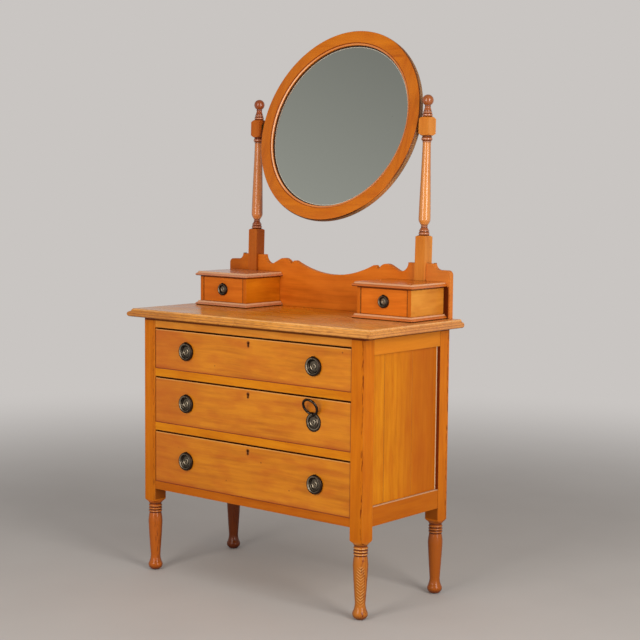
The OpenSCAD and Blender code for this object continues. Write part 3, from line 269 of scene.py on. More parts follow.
# Satin walnut, sawn along the grain and French polished: a warm orange body with soft, nearly
# straight streaks some 10 to 20 mm wide and faint cloudy patches as wide as a hand. The fibres
# are drawn about 1 mm wide, because the real ones are too fine to show.
def wood(name, tone, grain="X", shift=0.0, value=1.0, streak=0.55, cloud=0.3, figure=0.06, fibre=0.25,
         blush=0.3, rough=0.34, gloss=0.08, coat=0.0, coated=(), coat_ior=1.5, bump=0.3, worn=0.6, wax_and_shade=0.8,
         wax_and_shade_reach=5 * MM, pits=0.93, joints=(), joint_axis=1, crossed=None, lean=0.0, ring=None, spindle=None,
         chevron=None, bands=(), flecks=(), marks=(), matt_shade=None):
    """A polished or bare piece of one colour, whose grain runs along one axis, or round a ring's axis.

    shift: where in the pattern the piece lies; value: how bright it is; streak, cloud, figure and fibre:
    shares of the grain's patterns; blush and worn: amounts of thick polish and wear; wax_and_shade: amount
    of the darkening of corners from their occlusion, which is painted shade and old wax;
    bands and flecks: (axis, low, high, soft, colour, amount, and further (axis, low, high) to stay in),
    axis 0 to 2, "ring", "deep" or "face", and flecks are broken up along the grain;
    marks: (x, z, radius, colour); matt_shade: (axis, low, high, colour) of a face without gloss, painted
    wholly in that colour as painted shade;
    coated: heights (low, high) that the coat is kept to; joints: where boards meet on joint_axis;
    crossed: y behind which the grain runs across; lean: angle that the board leans back.
    """
    s = bpy.context.scene.dressing_table.wood
    body = linear(tone)
    made, tree = material(name)
    place = add(tree, "ShaderNodeTexCoord", out="Object")
    at = dict(enumerate(add(tree, "ShaderNodeSeparateXYZ", {0: place}, out=None)))
    grained = sawn(tree, place, at, grain, shift, joints, joint_axis, crossed, lean, ring)
    if spindle:
        at["face"] = facing(tree, place, spindle)
    drift = add(tree, "ShaderNodeTexNoise", {"Vector": grained, "Scale": 2.2, "Detail": 1.0}, out="Color")
    drift = add(tree, "ShaderNodeVectorMath", {0: drift, 1: (0.0, 0.035, 0.035)}, operation="MULTIPLY")
    bent = add(tree, "ShaderNodeVectorMath", {0: grained, 1: drift}, operation="ADD")
    streaks = noise(tree, bent, STREAKS, 4.0, 0.62)
    clouds = noise(tree, bent, CLOUDS, 3.0)
    fibres = noise(tree, bent, FIBRES, 2.0)
    pith = add(tree, "ShaderNodeMapping", {"Vector": bent, "Location": (0, 0.09, 0.06), "Scale": (0.12, 1, 1)})
    rings = add(tree, "ShaderNodeTexWave", {"Vector": pith, "Scale": 17.0, "Distortion": 5.0, "Detail": 2.0,
                                            "Detail Scale": 1.6}, wave_type="RINGS", rings_direction="X")
    total = add(tree, "ShaderNodeMath", {0: streaks, 1: streak, 2: 0.5 - 0.5 * (streak + cloud + figure + fibre)},
                operation="MULTIPLY_ADD")
    for part, amount in ((clouds, cloud), (rings, figure), (fibres, fibre)):
        total = add(tree, "ShaderNodeMath", {0: part, 1: amount, 2: total}, operation="MULTIPLY_ADD")
    colour = add(tree, "ShaderNodeValToRGB", {0: total},
                 stops=[(0.24, shade(body, 0.72, 0.6, 0.5)), (0.76, shade(body, 1.18, 1.3, 1.6)), (0.5, body)])
    # Redder patches where the polish is thick
    patches = add(tree, "ShaderNodeMapRange", {0: noise(tree, bent, PATCHES, 2.0), 1: 0.45, 2: 0.72})
    colour = tinge(tree, colour, patches, s.thick, blush)
    colour = pitted(tree, colour, grained, pits)
    for x, z, radius, mark in marks:
        off = add(tree, "ShaderNodeCombineXYZ", {0: at[0], 2: at[2]})
        far = add(tree, "ShaderNodeVectorMath", {0: off, 1: (x, 0, z)}, out="Value", operation="DISTANCE")
        spot = add(tree, "ShaderNodeMapRange", {0: far, 1: 0.5 * radius, 2: radius, 3: 1.0, 4: 0.0})
        colour = tinge(tree, colour, spot, mark, 0.85)
    colour = zones(tree, colour, at, bands)
    if flecks:
        chips = add(tree, "ShaderNodeMapRange", {0: noise(tree, grained, CHIPS, 3.0), 1: 0.52, 2: 0.6})
        colour = zones(tree, colour, at, flecks, chips)
    if chevron:
        colour = herringbone(tree, colour, chevron)
    # Rubbed edges are paler, and corners, creases and gaps darken by their occlusion: painted shade, which also
    # stands for old wax
    if worn:
        rounded = add(tree, "ShaderNodeBevel", {"Radius": s.wear}, samples=4)
        flat = add(tree, "ShaderNodeNewGeometry", out="Normal")
        edge = add(tree, "ShaderNodeVectorMath", {0: rounded, 1: flat}, out="Value", operation="DOT_PRODUCT")
        edge = add(tree, "ShaderNodeMapRange", {0: edge, 1: 0.97, 2: 0.72, 3: 0.0, 4: 1.0})
        ragged = add(tree, "ShaderNodeMapRange", {0: streaks, 1: 0.38, 2: 0.62, 3: 0.15, 4: 1.0})
        colour = tinge(tree, colour, edge, s.rubbed, worn, ragged)
    corner_wax_and_shade = add(tree, "ShaderNodeAmbientOcclusion", {"Distance": wax_and_shade_reach}, out="AO", samples=6)
    corner_wax_and_shade = add(tree, "ShaderNodeMapRange", {0: corner_wax_and_shade, 1: 0.72, 2: 0.15, 3: 0.0, 4: 1.0})
    colour = tinge(tree, colour, corner_wax_and_shade, s.dirt_and_shade, wax_and_shade)
    # A face without gloss, painted wholly in its colour: painted shade, as in the gap over a drawer front
    if matt_shade:
        axis, low, high, matt_shade_tone = matt_shade
        dull = between(tree, at[axis], low, high, 0.3 * MM)
        colour = tinge(tree, colour, dull, matt_shade_tone, 1.0)
        gloss = add(tree, "ShaderNodeMapRange", {0: dull, 3: gloss, 4: 0.0})
    if value != 1.0:
        colour = add(tree, "ShaderNodeHueSaturation", {"Value": value, "Color": colour})
    smudge = add(tree, "ShaderNodeMapRange", {0: clouds, 1: 0.3, 2: 0.7, 3: rough - 0.06, 4: rough + 0.08})
    # Fibres, streaks and shallow dents stand in the polish
    relief = add(tree, "ShaderNodeMath", {0: fibres, 1: 0.5, 2: streaks}, operation="MULTIPLY_ADD")
    dents = add(tree, "ShaderNodeTexNoise", {"Vector": place, "Scale": 34.0, "Detail": 1.0})
    relief = add(tree, "ShaderNodeMath", {0: dents, 1: 1.2, 2: relief}, operation="MULTIPLY_ADD")
    bumped = add(tree, "ShaderNodeBump", {"Height": relief, "Strength": bump, "Distance": 0.25 * MM})
    if worn:
        tree.links.new(rounded, bumped.node.inputs["Normal"])
    if coated:
        layer = 0.0
        for low, high in coated:
            mask = between(tree, at[2], low, high, 1 * MM)
            layer = add(tree, "ShaderNodeMath", {0: mask, 1: coat, 2: layer}, operation="MULTIPLY_ADD")
        coat = layer
    shader = add(tree, "ShaderNodeBsdfPrincipled", {"Base Color": colour, "Roughness": smudge, "Normal": bumped,
                                                    "IOR": 1.5, "Specular IOR Level": gloss,
                                                    "Coat Weight": coat, "Coat Roughness": 0.14,
                                                    "Coat IOR": coat_ior})
    add(tree, "ShaderNodeOutputMaterial", {"Surface": shader})
    return made


def round_grain(tree, place, ring):
    """Grain of a ring built from four quarters, each sawn along its own middle, the distance from the
    ring's middle, and the depth behind it."""
    lean, origin = ring
    moved = add(tree, "ShaderNodeVectorMath", {0: place, 1: origin}, operation="SUBTRACT")
    level = add(tree, "ShaderNodeMapping", {"Vector": moved, "Rotation": (lean, 0, 0)})
    at = add(tree, "ShaderNodeSeparateXYZ", {0: level}, out=None)
    angle = add(tree, "ShaderNodeMath", {0: at[2], 1: at[0]}, operation="ARCTAN2")
    quarter = add(tree, "ShaderNodeMath", {0: angle, 1: 2 / pi}, operation="MULTIPLY")
    quarter = add(tree, "ShaderNodeMath", {0: quarter}, operation="ROUND")
    turn = add(tree, "ShaderNodeMath", {0: quarter, 1: pi / 2}, operation="MULTIPLY")
    own = add(tree, "ShaderNodeVectorRotate", {"Vector": level, "Angle": turn}, rotation_type="Y_AXIS")
    own = add(tree, "ShaderNodeSeparateXYZ", {0: own}, out=None)
    board = add(tree, "ShaderNodeMath", {0: quarter, 1: 4.0}, operation="FLOORED_MODULO")
    along = add(tree, "ShaderNodeMath", {0: board, 1: 0.9, 2: own[2]}, operation="MULTIPLY_ADD")
    flat = add(tree, "ShaderNodeCombineXYZ", {0: at[0], 2: at[2]})
    away = add(tree, "ShaderNodeVectorMath", {0: flat}, out="Value", operation="LENGTH")
    return add(tree, "ShaderNodeCombineXYZ", {0: along, 1: own[1], 2: own[0]}), away, own[1]


def herringbone(tree, colour, chevron):
    """Pale and dark ripples in the grain, 8.5 mm apart, that meet in a line down the front of a leg."""
    centre, turn, low, high = chevron
    place = add(tree, "ShaderNodeTexCoord", out="Object")
    moved = add(tree, "ShaderNodeVectorMath", {0: place, 1: centre}, operation="SUBTRACT")
    turned = add(tree, "ShaderNodeMapping", {"Vector": moved, "Rotation": (0, 0, turn)})
    turned = add(tree, "ShaderNodeSeparateXYZ", {0: turned}, out=None)
    aside = add(tree, "ShaderNodeMath", {0: turned[0]}, operation="ABSOLUTE")
    climb = add(tree, "ShaderNodeMath", {0: aside, 1: -0.8, 2: turned[2]}, operation="MULTIPLY_ADD")
    row = add(tree, "ShaderNodeMath", {0: climb, 1: 2 * pi / (8.5 * MM)}, operation="MULTIPLY")
    wave = add(tree, "ShaderNodeMath", {0: row}, operation="SINE")
    for part, start, end in ((turned[2], low, high), (aside, 0.0, 9 * MM)):
        reach = between(tree, part, start, end, 5 * MM)
        wave = add(tree, "ShaderNodeMath", {0: wave, 1: reach}, operation="MULTIPLY")
    faint = add(tree, "ShaderNodeTexNoise", {"Vector": place, "Scale": 60.0, "Detail": 2.0})
    faint = add(tree, "ShaderNodeMapRange", {0: faint, 1: 0.38, 2: 0.62, 3: 0.25, 4: 1.0})
    pale = add(tree, "ShaderNodeMapRange", {0: wave, 1: 0.2, 2: 0.9})
    dark = add(tree, "ShaderNodeMapRange", {0: wave, 1: -0.1, 2: -0.8})
    colour = tinge(tree, colour, dark, "#6e3408", 0.6, faint)
    return tinge(tree, colour, pale, "#e4b874", 0.55, faint)


# Unpolished softwood and hardwood inside and behind, dry and a little dusty
def bare_wood(name, grain, shift, **more):
    """A bare board."""
    tone = bpy.context.scene.dressing_table.wood.bare
    return wood(name, tone, grain=grain, shift=shift, streak=0.75, cloud=0.5, figure=0.12, rough=0.62, gloss=0.3,
                worn=0.25, wax_and_shade=0.5, **more)


# Stamped brass, bronzed nearly black: the ridges are rubbed to a greyish brass and catch the light
def bronzed(name, ridges=(), centres=(), rough=0.4):
    """Bronzed brass, rubbed bright on ridges (radius, half width, amount) round the centres (x, z)."""
    s = bpy.context.scene.dressing_table.metal
    made, tree = material(name)
    place = add(tree, "ShaderNodeTexCoord", out="Object")
    stain = add(tree, "ShaderNodeTexNoise", {"Vector": place, "Scale": 260.0, "Detail": 3.0, "Roughness": 0.65})
    rub = 0.0
    if centres:
        at = add(tree, "ShaderNodeSeparateXYZ", {0: place}, out=None)
        flat = add(tree, "ShaderNodeCombineXYZ", {0: at[0], 2: at[2]})
        near = None
        for x, z in centres:
            far = add(tree, "ShaderNodeVectorMath", {0: flat, 1: (x, 0, z)}, out="Value", operation="DISTANCE")
            near = add(tree, "ShaderNodeMath", {0: near, 1: far}, operation="MINIMUM") if near else far
        for radius, half, amount in ridges:
            ridge = between(tree, near, radius - half, radius + half, 0.6 * MM)
            rub = add(tree, "ShaderNodeMath", {0: ridge, 1: amount, 2: rub}, operation="MULTIPLY_ADD")
    colour = add(tree, "ShaderNodeValToRGB", {0: rub}, stops=[(0.05, linear(s.bronze)), (0.9, linear(s.rubbed))])
    rough = add(tree, "ShaderNodeMapRange", {0: stain, 1: 0.3, 2: 0.7, 3: rough - 0.08, 4: rough + 0.08})
    shader = add(tree, "ShaderNodeBsdfPrincipled", {"Base Color": colour, "Metallic": 1.0, "Roughness": rough})
    add(tree, "ShaderNodeOutputMaterial", {"Surface": shader})
    return made


# Brass gone dull with age: a little uneven in colour and polish
def dull_brass(name):
    """Cast and filed brass."""
    s = bpy.context.scene.dressing_table.metal
    made, tree = material(name)
    place = add(tree, "ShaderNodeTexCoord", out="Object")
    stain = add(tree, "ShaderNodeTexNoise", {"Vector": place, "Scale": 140.0, "Detail": 3.0})
    colour = add(tree, "ShaderNodeValToRGB", {0: stain},
                 stops=[(0.3, linear("#7c6336")), (0.65, linear(s.brass))])
    rough = add(tree, "ShaderNodeMapRange", {0: stain, 3: 0.28, 4: 0.48})
    shader = add(tree, "ShaderNodeBsdfPrincipled", {"Base Color": colour, "Metallic": 1.0, "Roughness": rough})
    add(tree, "ShaderNodeOutputMaterial", {"Surface": shader})
    return made


# Silvered plate glass: nearly perfect reflection, with a few pin-point specks in the old silver
def silvered_glass(name, ring):
    """Old silvered plate glass with a pale rim."""
    s = bpy.context.scene.dressing_table.mirror
    made, tree = material(name)
    place = add(tree, "ShaderNodeTexCoord", out="Object")
    haze = add(tree, "ShaderNodeTexNoise", {"Vector": place, "Scale": 5.0, "Detail": 2.0})
    rough = add(tree, "ShaderNodeMapRange", {0: haze, 3: 0.01, 4: 0.05})
    cells = add(tree, "ShaderNodeTexVoronoi", {"Vector": place, "Scale": 26.0})
    speck = add(tree, "ShaderNodeValToRGB", {0: cells},
                stops=[(0.012, linear("#6d6a5e")), (0.03, linear(s.silver))])
    away = round_grain(tree, place, ring)[1]
    rim = between(tree, away, GLASS_RIM, GLASS_END, 0.3 * MM)
    speck = tinge(tree, speck, rim, "#ccc6b6", 1.0)
    # Painted shade on the glass under the frame's edge
    speck = tinge(tree, speck, between(tree, away, GLASS_SHADE, GLASS_END, 0.4 * MM), "#1c0c04", 1.0)
    metal = add(tree, "ShaderNodeMapRange", {0: rim, 3: 1.0, 4: 0.0})
    rough = add(tree, "ShaderNodeMath", {0: rim, 1: 0.6, 2: rough}, operation="MULTIPLY_ADD")
    flat = add(tree, "ShaderNodeNewGeometry", out="True Normal")
    shader = add(tree, "ShaderNodeBsdfPrincipled", {"Base Color": speck, "Metallic": metal, "Roughness": rough,
                                                    "Normal": flat})
    add(tree, "ShaderNodeOutputMaterial", {"Surface": shader})
    return made


def finish(made, *nodes):
    """Give CAD nodes one material."""
    for name in nodes:
        slots = NODES[name].data.materials
        slots.clear()
        slots.append(made)


# Pieces

class Step(Operator):
    """Base of the steps that make the dressing table"""
    bl_options = {"REGISTER", "UNDO"}


class DRESSING_TABLE_OT_carcase(Step):
    """Polish the legs, rails, panels and top, and leave the inside bare"""
    bl_idname = "dressing_table.carcase"
    bl_label = "Carcase"

    def execute(self, context):
        s = context.scene.dressing_table.wood
        self.legs(s, -radians(context.scene.dressing_table.studio.azimuth))
        self.top(s)
        self.rails(s)
        self.panels(s)
        for i, (name, grain) in enumerate((("back_rails", "X"), ("drawer_runners", "Y"), ("drawer_guides", "Y"))):
            finish(bare_wood("Bare wood, " + name, grain, 9.3 + i), name)
        low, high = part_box("back_boards")
        width = (high.x - low.x) / 6
        finish(bare_wood("Bare back boards", "Z", 12.9, joint_axis=0,
                         joints=[low.x + width * k for k in range(1, 6)]), "back_boards")
        return {"FINISHED"}

    def legs(self, s, turn):
        """Orange posts on darker turned feet, each in its own way, with painted shade and painted highlights."""
        shadow = "#5c2606"
        # Level of the colour, which on the rear left leg is lowered as painted shade, colour and strength of the
        # darker foot, mostly painted shade towards the floor, and the painted highlight on its beads, which are also
        # rubbed
        legs = {"leg_front_left": (1.0, "#aa5410", 0.85, 0.3), "leg_rear_left": (0.76, "#702e04", 0.95, 0.0),
                "leg_rear_right": (1.0, "#9c4e0c", 0.9, 0.2), "leg_front_right": (1.0, "#b06618", 0.8, 0.75)}
        # Painted shade in the hollows between the beads, under the square part and at the foot's base
        hollows = [line(2, z, 1.6 * MM, 1.0 * MM, s.dirt_and_shade, 0.85) for z in FOOT_HOLLOWS]
        hollows += [(2, 0.2085, 0.2135, 1.5 * MM, s.dirt_and_shade, 0.7), (2, 0.0, 0.006, 0.012, s.dirt_and_shade, 0.6)]
        for i, (name, (value, tone, amount, rub)) in enumerate(legs.items()):
            low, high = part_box(name)
            axis = ((low.x + high.x) / 2, (low.y + high.y) / 2, 0)
            # Painted highlights on the crests of the beads, and painted shade on the side of the foot turned away
            # from front right
            crests = [line(2, z, 0.6 * MM, 1.0 * MM, s.rubbed, rub) for z in FOOT_BEADS]
            crests.append(("face", -1.1, 0.2, 0.5, shadow, 0.45, (2, -0.01, FOOT_TOP - 9 * MM, 4 * MM)))
            # Painted shade darkening towards the floor and on the foot, which also has its own darker tone, and
            # painted shadow under the top
            bands = [(2, -0.1, 0.15, 0.35, "#8a4208", 0.28), (2, -0.1, FOOT_TOP - 8 * MM, 5 * MM, tone, amount),
                     (2, high.z - 8 * MM, high.z, 2 * MM, s.dirt_and_shade, 0.85)]
            flecks = [(0, high.x - 9 * MM, high.x - 4 * MM, 2 * MM, s.dirt_and_shade, 0.5)]
            chevron = None
            if name == "leg_front_right":
                bands.insert(0, (2, -0.01, 0.03, 0.02, "#c08848", 0.5))
                flecks = [(0, high.x - 8 * MM, high.x - 2 * MM, 1.5 * MM, "#6a1c04", 0.85)]
                chevron = (Vector(axis) + Vector((0, 0, FIGURE_MIDDLE)), turn, -FIGURE_HALF, FIGURE_HALF)
            if name == "leg_rear_right":
                flecks = [(1, high.y - 8 * MM, high.y - 2 * MM, 1.5 * MM, s.dirt_and_shade, 0.8)]
            if "rear" in name:
                # Dark faces beside the panel, and painted shade on the faces under the rails
                front = (1, low.y - 1 * MM, low.y + 0.4 * MM, 0.4 * MM)
                bands += [(*front, "#6a2006", 0.92, (2, PANEL_LOW, PANEL_HIGH)),
                          (*front, shadow, 0.5, (2, FOOT_TOP, SIDE_RAIL_LOW))]
            # Painted shade on the inner side face under the front rail
            if "left" in name:
                bands.append((0, high.x - 0.4 * MM, high.x + 1 * MM, 0.4 * MM, shadow, 0.6,
                              (2, FOOT_TOP, FRONT_RAIL_LOW)))
            finish(wood("Polished post, " + name, s.orange, grain="Z", shift=1.3 * i + 0.4, value=value, coat=0.3,
                        coated=((-0.01, FOOT_TOP - 5 * MM),), coat_ior=1.6, spindle=axis,
                        chevron=chevron, bands=bands + hollows + crests, flecks=flecks), name)

    def top(self, s):
        """The top, glossy and cloudy, with paler moulded edges, and painted highlight and shade on the moulding."""
        low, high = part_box("top_board")
        edge = 14 * MM
        pale = [(0, 0.2, high.x, 0.15, "#f0b478", 0.35), (1, low.y, low.y + 0.08, 0.1, "#f0b050", 0.3),
                line(1, low.y, edge, 3 * MM, "#e49838", 0.35), line(0, low.x, edge, 3 * MM, "#e2963a", 0.3),
                (0, low.x, low.x + 0.15, 0.15, "#9a5418", 0.4, (1, low.y - edge, low.y + 13 * MM, 1 * MM)),
                line(0, high.x, edge, 3 * MM, "#c87a30", 0.3),
                # Painted highlight on the upper arris, which is also rubbed, and painted shade in and under the
                # moulding
                (2, low.z + 21.5 * MM, low.z + 23.5 * MM, 0.8 * MM, "#f0c080", 0.5),
                (2, low.z + 9.5 * MM, low.z + 11 * MM, 1 * MM, "#7a340a", 0.5),
                (2, low.z - 1 * MM, low.z + 1.5 * MM, 1.5 * MM, s.dirt_and_shade, 0.8)]
        chipped = [(1, low.y - 1 * MM, low.y + 12 * MM, 1 * MM, "#6a300c", 0.35),
                   (0, high.x - 12 * MM, high.x + 1 * MM, 1 * MM, "#6a300c", 0.35)]
        finish(wood("Polished top", s.golden, grain="X", shift=7.7, streak=1.3, cloud=1.1, rough=0.26, gloss=0.4,
                    coat=0.2, bump=0.1, worn=0.9, pits=0.85, bands=pale, flecks=chipped), "top_board")

    def rails(self, s):
        """Rails of the front and the sides, with the shadow of the top and of the gaps over the drawers."""
        low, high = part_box("front_top_rail")
        # Painted shadow under the top's overhang, and painted shade in the gaps over the drawers
        shadow_under_top = (2, high.z - 7.5 * MM, high.z, 2 * MM, s.dirt_and_shade, 0.85)
        gaps = [(2, z - 1 * MM, z + 0.9 * MM, 0.6 * MM, "#2a0a02", 0.9)
                for z in (low.z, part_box("drawer_rails")[0].z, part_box("middle_drawer_front")[1].z + FRONT_GAP)]
        finish(wood("Polished top rail", "#d4842a", grain="X", shift=2.1, bands=[gaps[0], shadow_under_top]),
               "front_top_rail")
        finish(wood("Polished drawer rails", s.golden, grain="X", shift=3.4, bands=gaps[1:]), "drawer_rails")
        finish(wood("Polished bottom rail", "#be6410", grain="X", shift=4.9, value=0.88), "front_bottom_rail")
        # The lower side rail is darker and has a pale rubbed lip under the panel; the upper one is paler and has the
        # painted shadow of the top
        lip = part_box("side_panels")[0].z + 9 * MM
        finish(wood("Polished side rails", s.orange, grain="Y", shift=6.2,
                    bands=[(2, -0.1, 0.32, 0.02, "#8a3e08", 0.35), (2, 0.7, 0.79, 0.02, "#e89a2c", 0.3), shadow_under_top,
                           (2, lip - 2 * MM, lip + 0.5 * MM, 0.8 * MM, "#cfae8e", 0.85)]), "side_rails")

    def panels(self, s):
        """Side panels of one narrow and two wide boards, redder towards the rear."""
        low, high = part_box("side_panels")
        first = low.y + 68 * MM
        # A pale line along the rear edge of the panel
        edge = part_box("leg_rear_right")[0].y
        finish(wood("Polished panel boards", s.golden, grain="Z", shift=8.8, streak=0.6, cloud=0.3, value=0.95,
                    joints=(first, (first + high.y) / 2),
                    bands=[(1, high.y - 0.09, high.y, 0.14, "#a8480a", 0.55),
                           (1, first - 0.6 * MM, first + 0.8 * MM, 0.8 * MM, s.dirt_and_shade, 0.45),
                           (1, edge - 4 * MM, edge - 0.5 * MM, 1 * MM, "#e8c49c", 0.85)]), "side_panels")


class DRESSING_TABLE_OT_drawers(Step):
    """Polish the drawer fronts and leave the boxes bare"""
    bl_idname = "dressing_table.drawers"
    bl_label = "Long drawers"

    def execute(self, context):
        s = context.scene.dressing_table.wood
        # Old bruises and ink spots: x, z and radius
        bruises = {"top": [(0.352, 0.746, 2.5 * MM)],
                   "middle": [(0.0536, 0.4735, 2.2 * MM)],
                   "bottom": [(0.0521, 0.3992, 2.6 * MM), (-0.0858, 0.3276, 2.0 * MM), (0.1607, 0.3323, 2.2 * MM),
                              (-0.0247, 0.2885, 2.4 * MM)]}
        for i, name in enumerate(DRAWERS):
            drawer = name + "_drawer_"
            low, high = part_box(drawer + "front")
            key = high.z - KEY_DROP
            # The keyhole is painted dark, as the shade inside it: a larger round over a smaller one
            keyhole_shade = [(0.0, key + 1 * MM, 8 * MM), (0.0, key - 7 * MM, 6 * MM)]
            # Darker towards the left end under thicker polish, painted shade and a painted shadow line along the
            # bottom edge, a pale rubbed line along the top, and painted shade in the gaps at both ends
            lines = [(0, low.x - 0.1, low.x + 0.02, 0.22, s.thick, 0.4),
                     (2, low.z - 1 * MM, low.z + 2 * MM, 12 * MM, "#a04a10", 0.4),
                     (2, low.z - 1 * MM, low.z + 1.6 * MM, 1.6 * MM, "#8a2806", 0.85),
                     (2, high.z - 2.6 * MM, high.z, 1.0 * MM, s.rubbed, 0.6),
                     (0, low.x - 1 * MM, low.x + 1.2 * MM, 1.2 * MM, "#6e1f05", 0.8),
                     (0, high.x - 1.2 * MM, high.x + 1 * MM, 1.2 * MM, "#6e1f05", 0.8)]
            # The top edge of the front is painted dark and without gloss, as painted shade in the gap over it
            finish(wood("Polished front, " + name, s.golden, grain="X", shift=14.3 + 2.7 * i, cloud=0.4, streak=0.65,
                        value=(1.0, 0.97, 0.95)[i], gloss=0.3, blush=0.5, bands=lines,
                        matt_shade=(2, high.z - 0.1 * MM, high.z + 1 * MM, "#6a1c02"),
                        marks=[(x, z, radius, s.dirt_and_shade) for x, z, radius in bruises[name] + keyhole_shade]), drawer + "front")
            finish(bare_wood("Bare drawer sides, " + name, "Y", 21.1 + i,
                             crossed=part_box(drawer + "sides")[1].y - 14 * MM), drawer + "sides")
            finish(bare_wood("Bare drawer bottom, " + name, "X", 25.1 + i), drawer + "bottom")
        return {"FINISHED"}


class DRESSING_TABLE_OT_jewel_boxes(Step):
    """Polish the two jewel boxes and their drawers"""
    bl_idname = "dressing_table.jewel_boxes"
    bl_label = "Jewel boxes"

    def execute(self, context):
        s = context.scene.dressing_table.wood
        for i, side in enumerate(SIDES):
            box = "jewel_" + side
            for part in ("_top", "_base"):
                low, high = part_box(box + part)
                # Painted highlight along the upper arris, and painted shade along the underside
                lines = [(2, high.z - 4.5 * MM, high.z - 1 * MM, 0.8 * MM, "#e8bc92", 0.6),
                         (2, low.z - 1 * MM, low.z + 2 * MM, 1 * MM, s.dirt_and_shade, 0.85)]
                finish(wood("Polished jewel box %s, %s" % (part[1:], side), ("#cc8254", s.red)[i], grain="X",
                            shift=30.2 + i, value=0.9, coat=0.5, gloss=0.6, rough=0.24, bump=0.1, worn=1.0,
                            bands=lines), box + part)
            low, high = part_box(box + "_sides")
            # The right box's sides have a paler tone, which is painted light; the front strip of each side is
            # orange, and painted shade lies under the lid
            lines = [(1, low.y - 1 * MM, low.y + 0.5 * MM, 0.5 * MM, "#c0600e", 0.9),
                     (2, high.z - 2.5 * MM, high.z, 1 * MM, s.dirt_and_shade, 0.85)]
            finish(wood("Polished jewel box sides, " + side, (s.orange, "#cc842e")[i], grain="Y", shift=32.6 + i,
                        cloud=0.9, bands=lines), box + "_sides")
            low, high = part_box(box + "_drawer_front")
            # Painted shade in the gaps round the drawer front
            lines = [(0, low.x - 1 * MM, low.x + 1.6 * MM, 1 * MM, s.dirt_and_shade, 0.85),
                     (0, high.x - 1.6 * MM, high.x + 1 * MM, 1 * MM, s.dirt_and_shade, 0.85),
                     (2, high.z - 2.2 * MM, high.z, 1 * MM, s.dirt_and_shade, 0.85)]
            finish(wood("Polished jewel front, " + side, s.red, grain="X", shift=34.9 + i, value=(0.98, 1.06)[i],
                        bands=lines), box + "_drawer_front")
            finish(bare_wood("Bare jewel drawer, " + side, "Y", 37.4 + i,
                             crossed=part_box(box + "_drawer_box")[1].y - 8 * MM), box + "_drawer_box")
        return {"FINISHED"}


class DRESSING_TABLE_OT_gallery(Step):
    """Polish the gallery board and the turned posts"""
    bl_idname = "dressing_table.gallery"
    bl_label = "Gallery and posts"

    def execute(self, context):
        s = context.scene.dressing_table.wood
        low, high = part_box("gallery_board")
        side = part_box("jewel_right_sides")[1].x
        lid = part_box("jewel_right_top")[0].z
        # Painted shade at the left end, a paler right part, and the right box's painted shadow on the face beside it
        dark = [(0, low.x - 1 * MM, low.x + 0.03, 0.07, "#8a3c0c", 0.6), (0, 0.32, 0.5, 0.05, "#c88848", 0.3),
                (0, side - 4 * MM, side + 15 * MM, 5 * MM, "#4a1404", 0.95, (2, low.z - 1 * MM, lid, 1 * MM),
                 (1, low.y - 1 * MM, low.y + 1 * MM, 1 * MM))]
        finish(wood("Polished gallery board", s.red, grain="X", shift=40.7, cloud=0.6, bands=dark), "gallery_board")
        # Beads and finials are darker than the shafts; the hollows between them get painted shade and the crests
        # painted highlights
        knobs = [(2, low - 1.5 * MM, high, 1.5 * MM, "#7a3212", 0.7) for low, high in POST_KNOBS]
        knobs += [line(2, z, 0.6 * MM, 0.9 * MM, "#e4aa86", 0.45) for z in POST_CRESTS]
        knobs += [line(2, z, 0.6 * MM, 0.9 * MM, "#3c1004", 0.8) for z in POST_HOLLOWS]
        for i, side in enumerate(SIDES):
            low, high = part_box("mirror_post_" + side)
            # The posts lean back, and their axis is taken at mid height
            axis = ((low.x + high.x) / 2, (low.y + high.y) / 2, 0)
            # A lighter shaft, painted light for a broad highlight; painted shade on the side turned away from front
            # right; and the block's right edge, painted shade on the left post and a painted highlight on the right
            flat = [(2, *POST_SHAFT, 4 * MM, ("#dc8c4c", "#d0904c")[i], (0.6, 0.35)[i]),
                    ("face", -1.1, 0.3, 0.4, "#7a340c", (0.55, 0.35)[i], (2, 1.059, 1.349, 1 * MM)),
                    (0, high.x - 1.2 * MM, high.x + 1 * MM, 0.6 * MM, ("#803406", "#e0ac6c")[i], (0.5, 0.1)[i])]
            finish(wood("Polished mirror post, " + side, (s.turned, "#c9792a")[i], grain="Z", shift=43.1 + 2.5 * i,
                        rough=0.3, gloss=0.1, coat=(0.75, 0.9)[i], coated=POST_TURNED, coat_ior=1.6,
                        bump=0.02, worn=0, wax_and_shade=0.9, wax_and_shade_reach=8 * MM, spindle=axis,
                        bands=flat + knobs), "mirror_post_" + side)
        return {"FINISHED"}


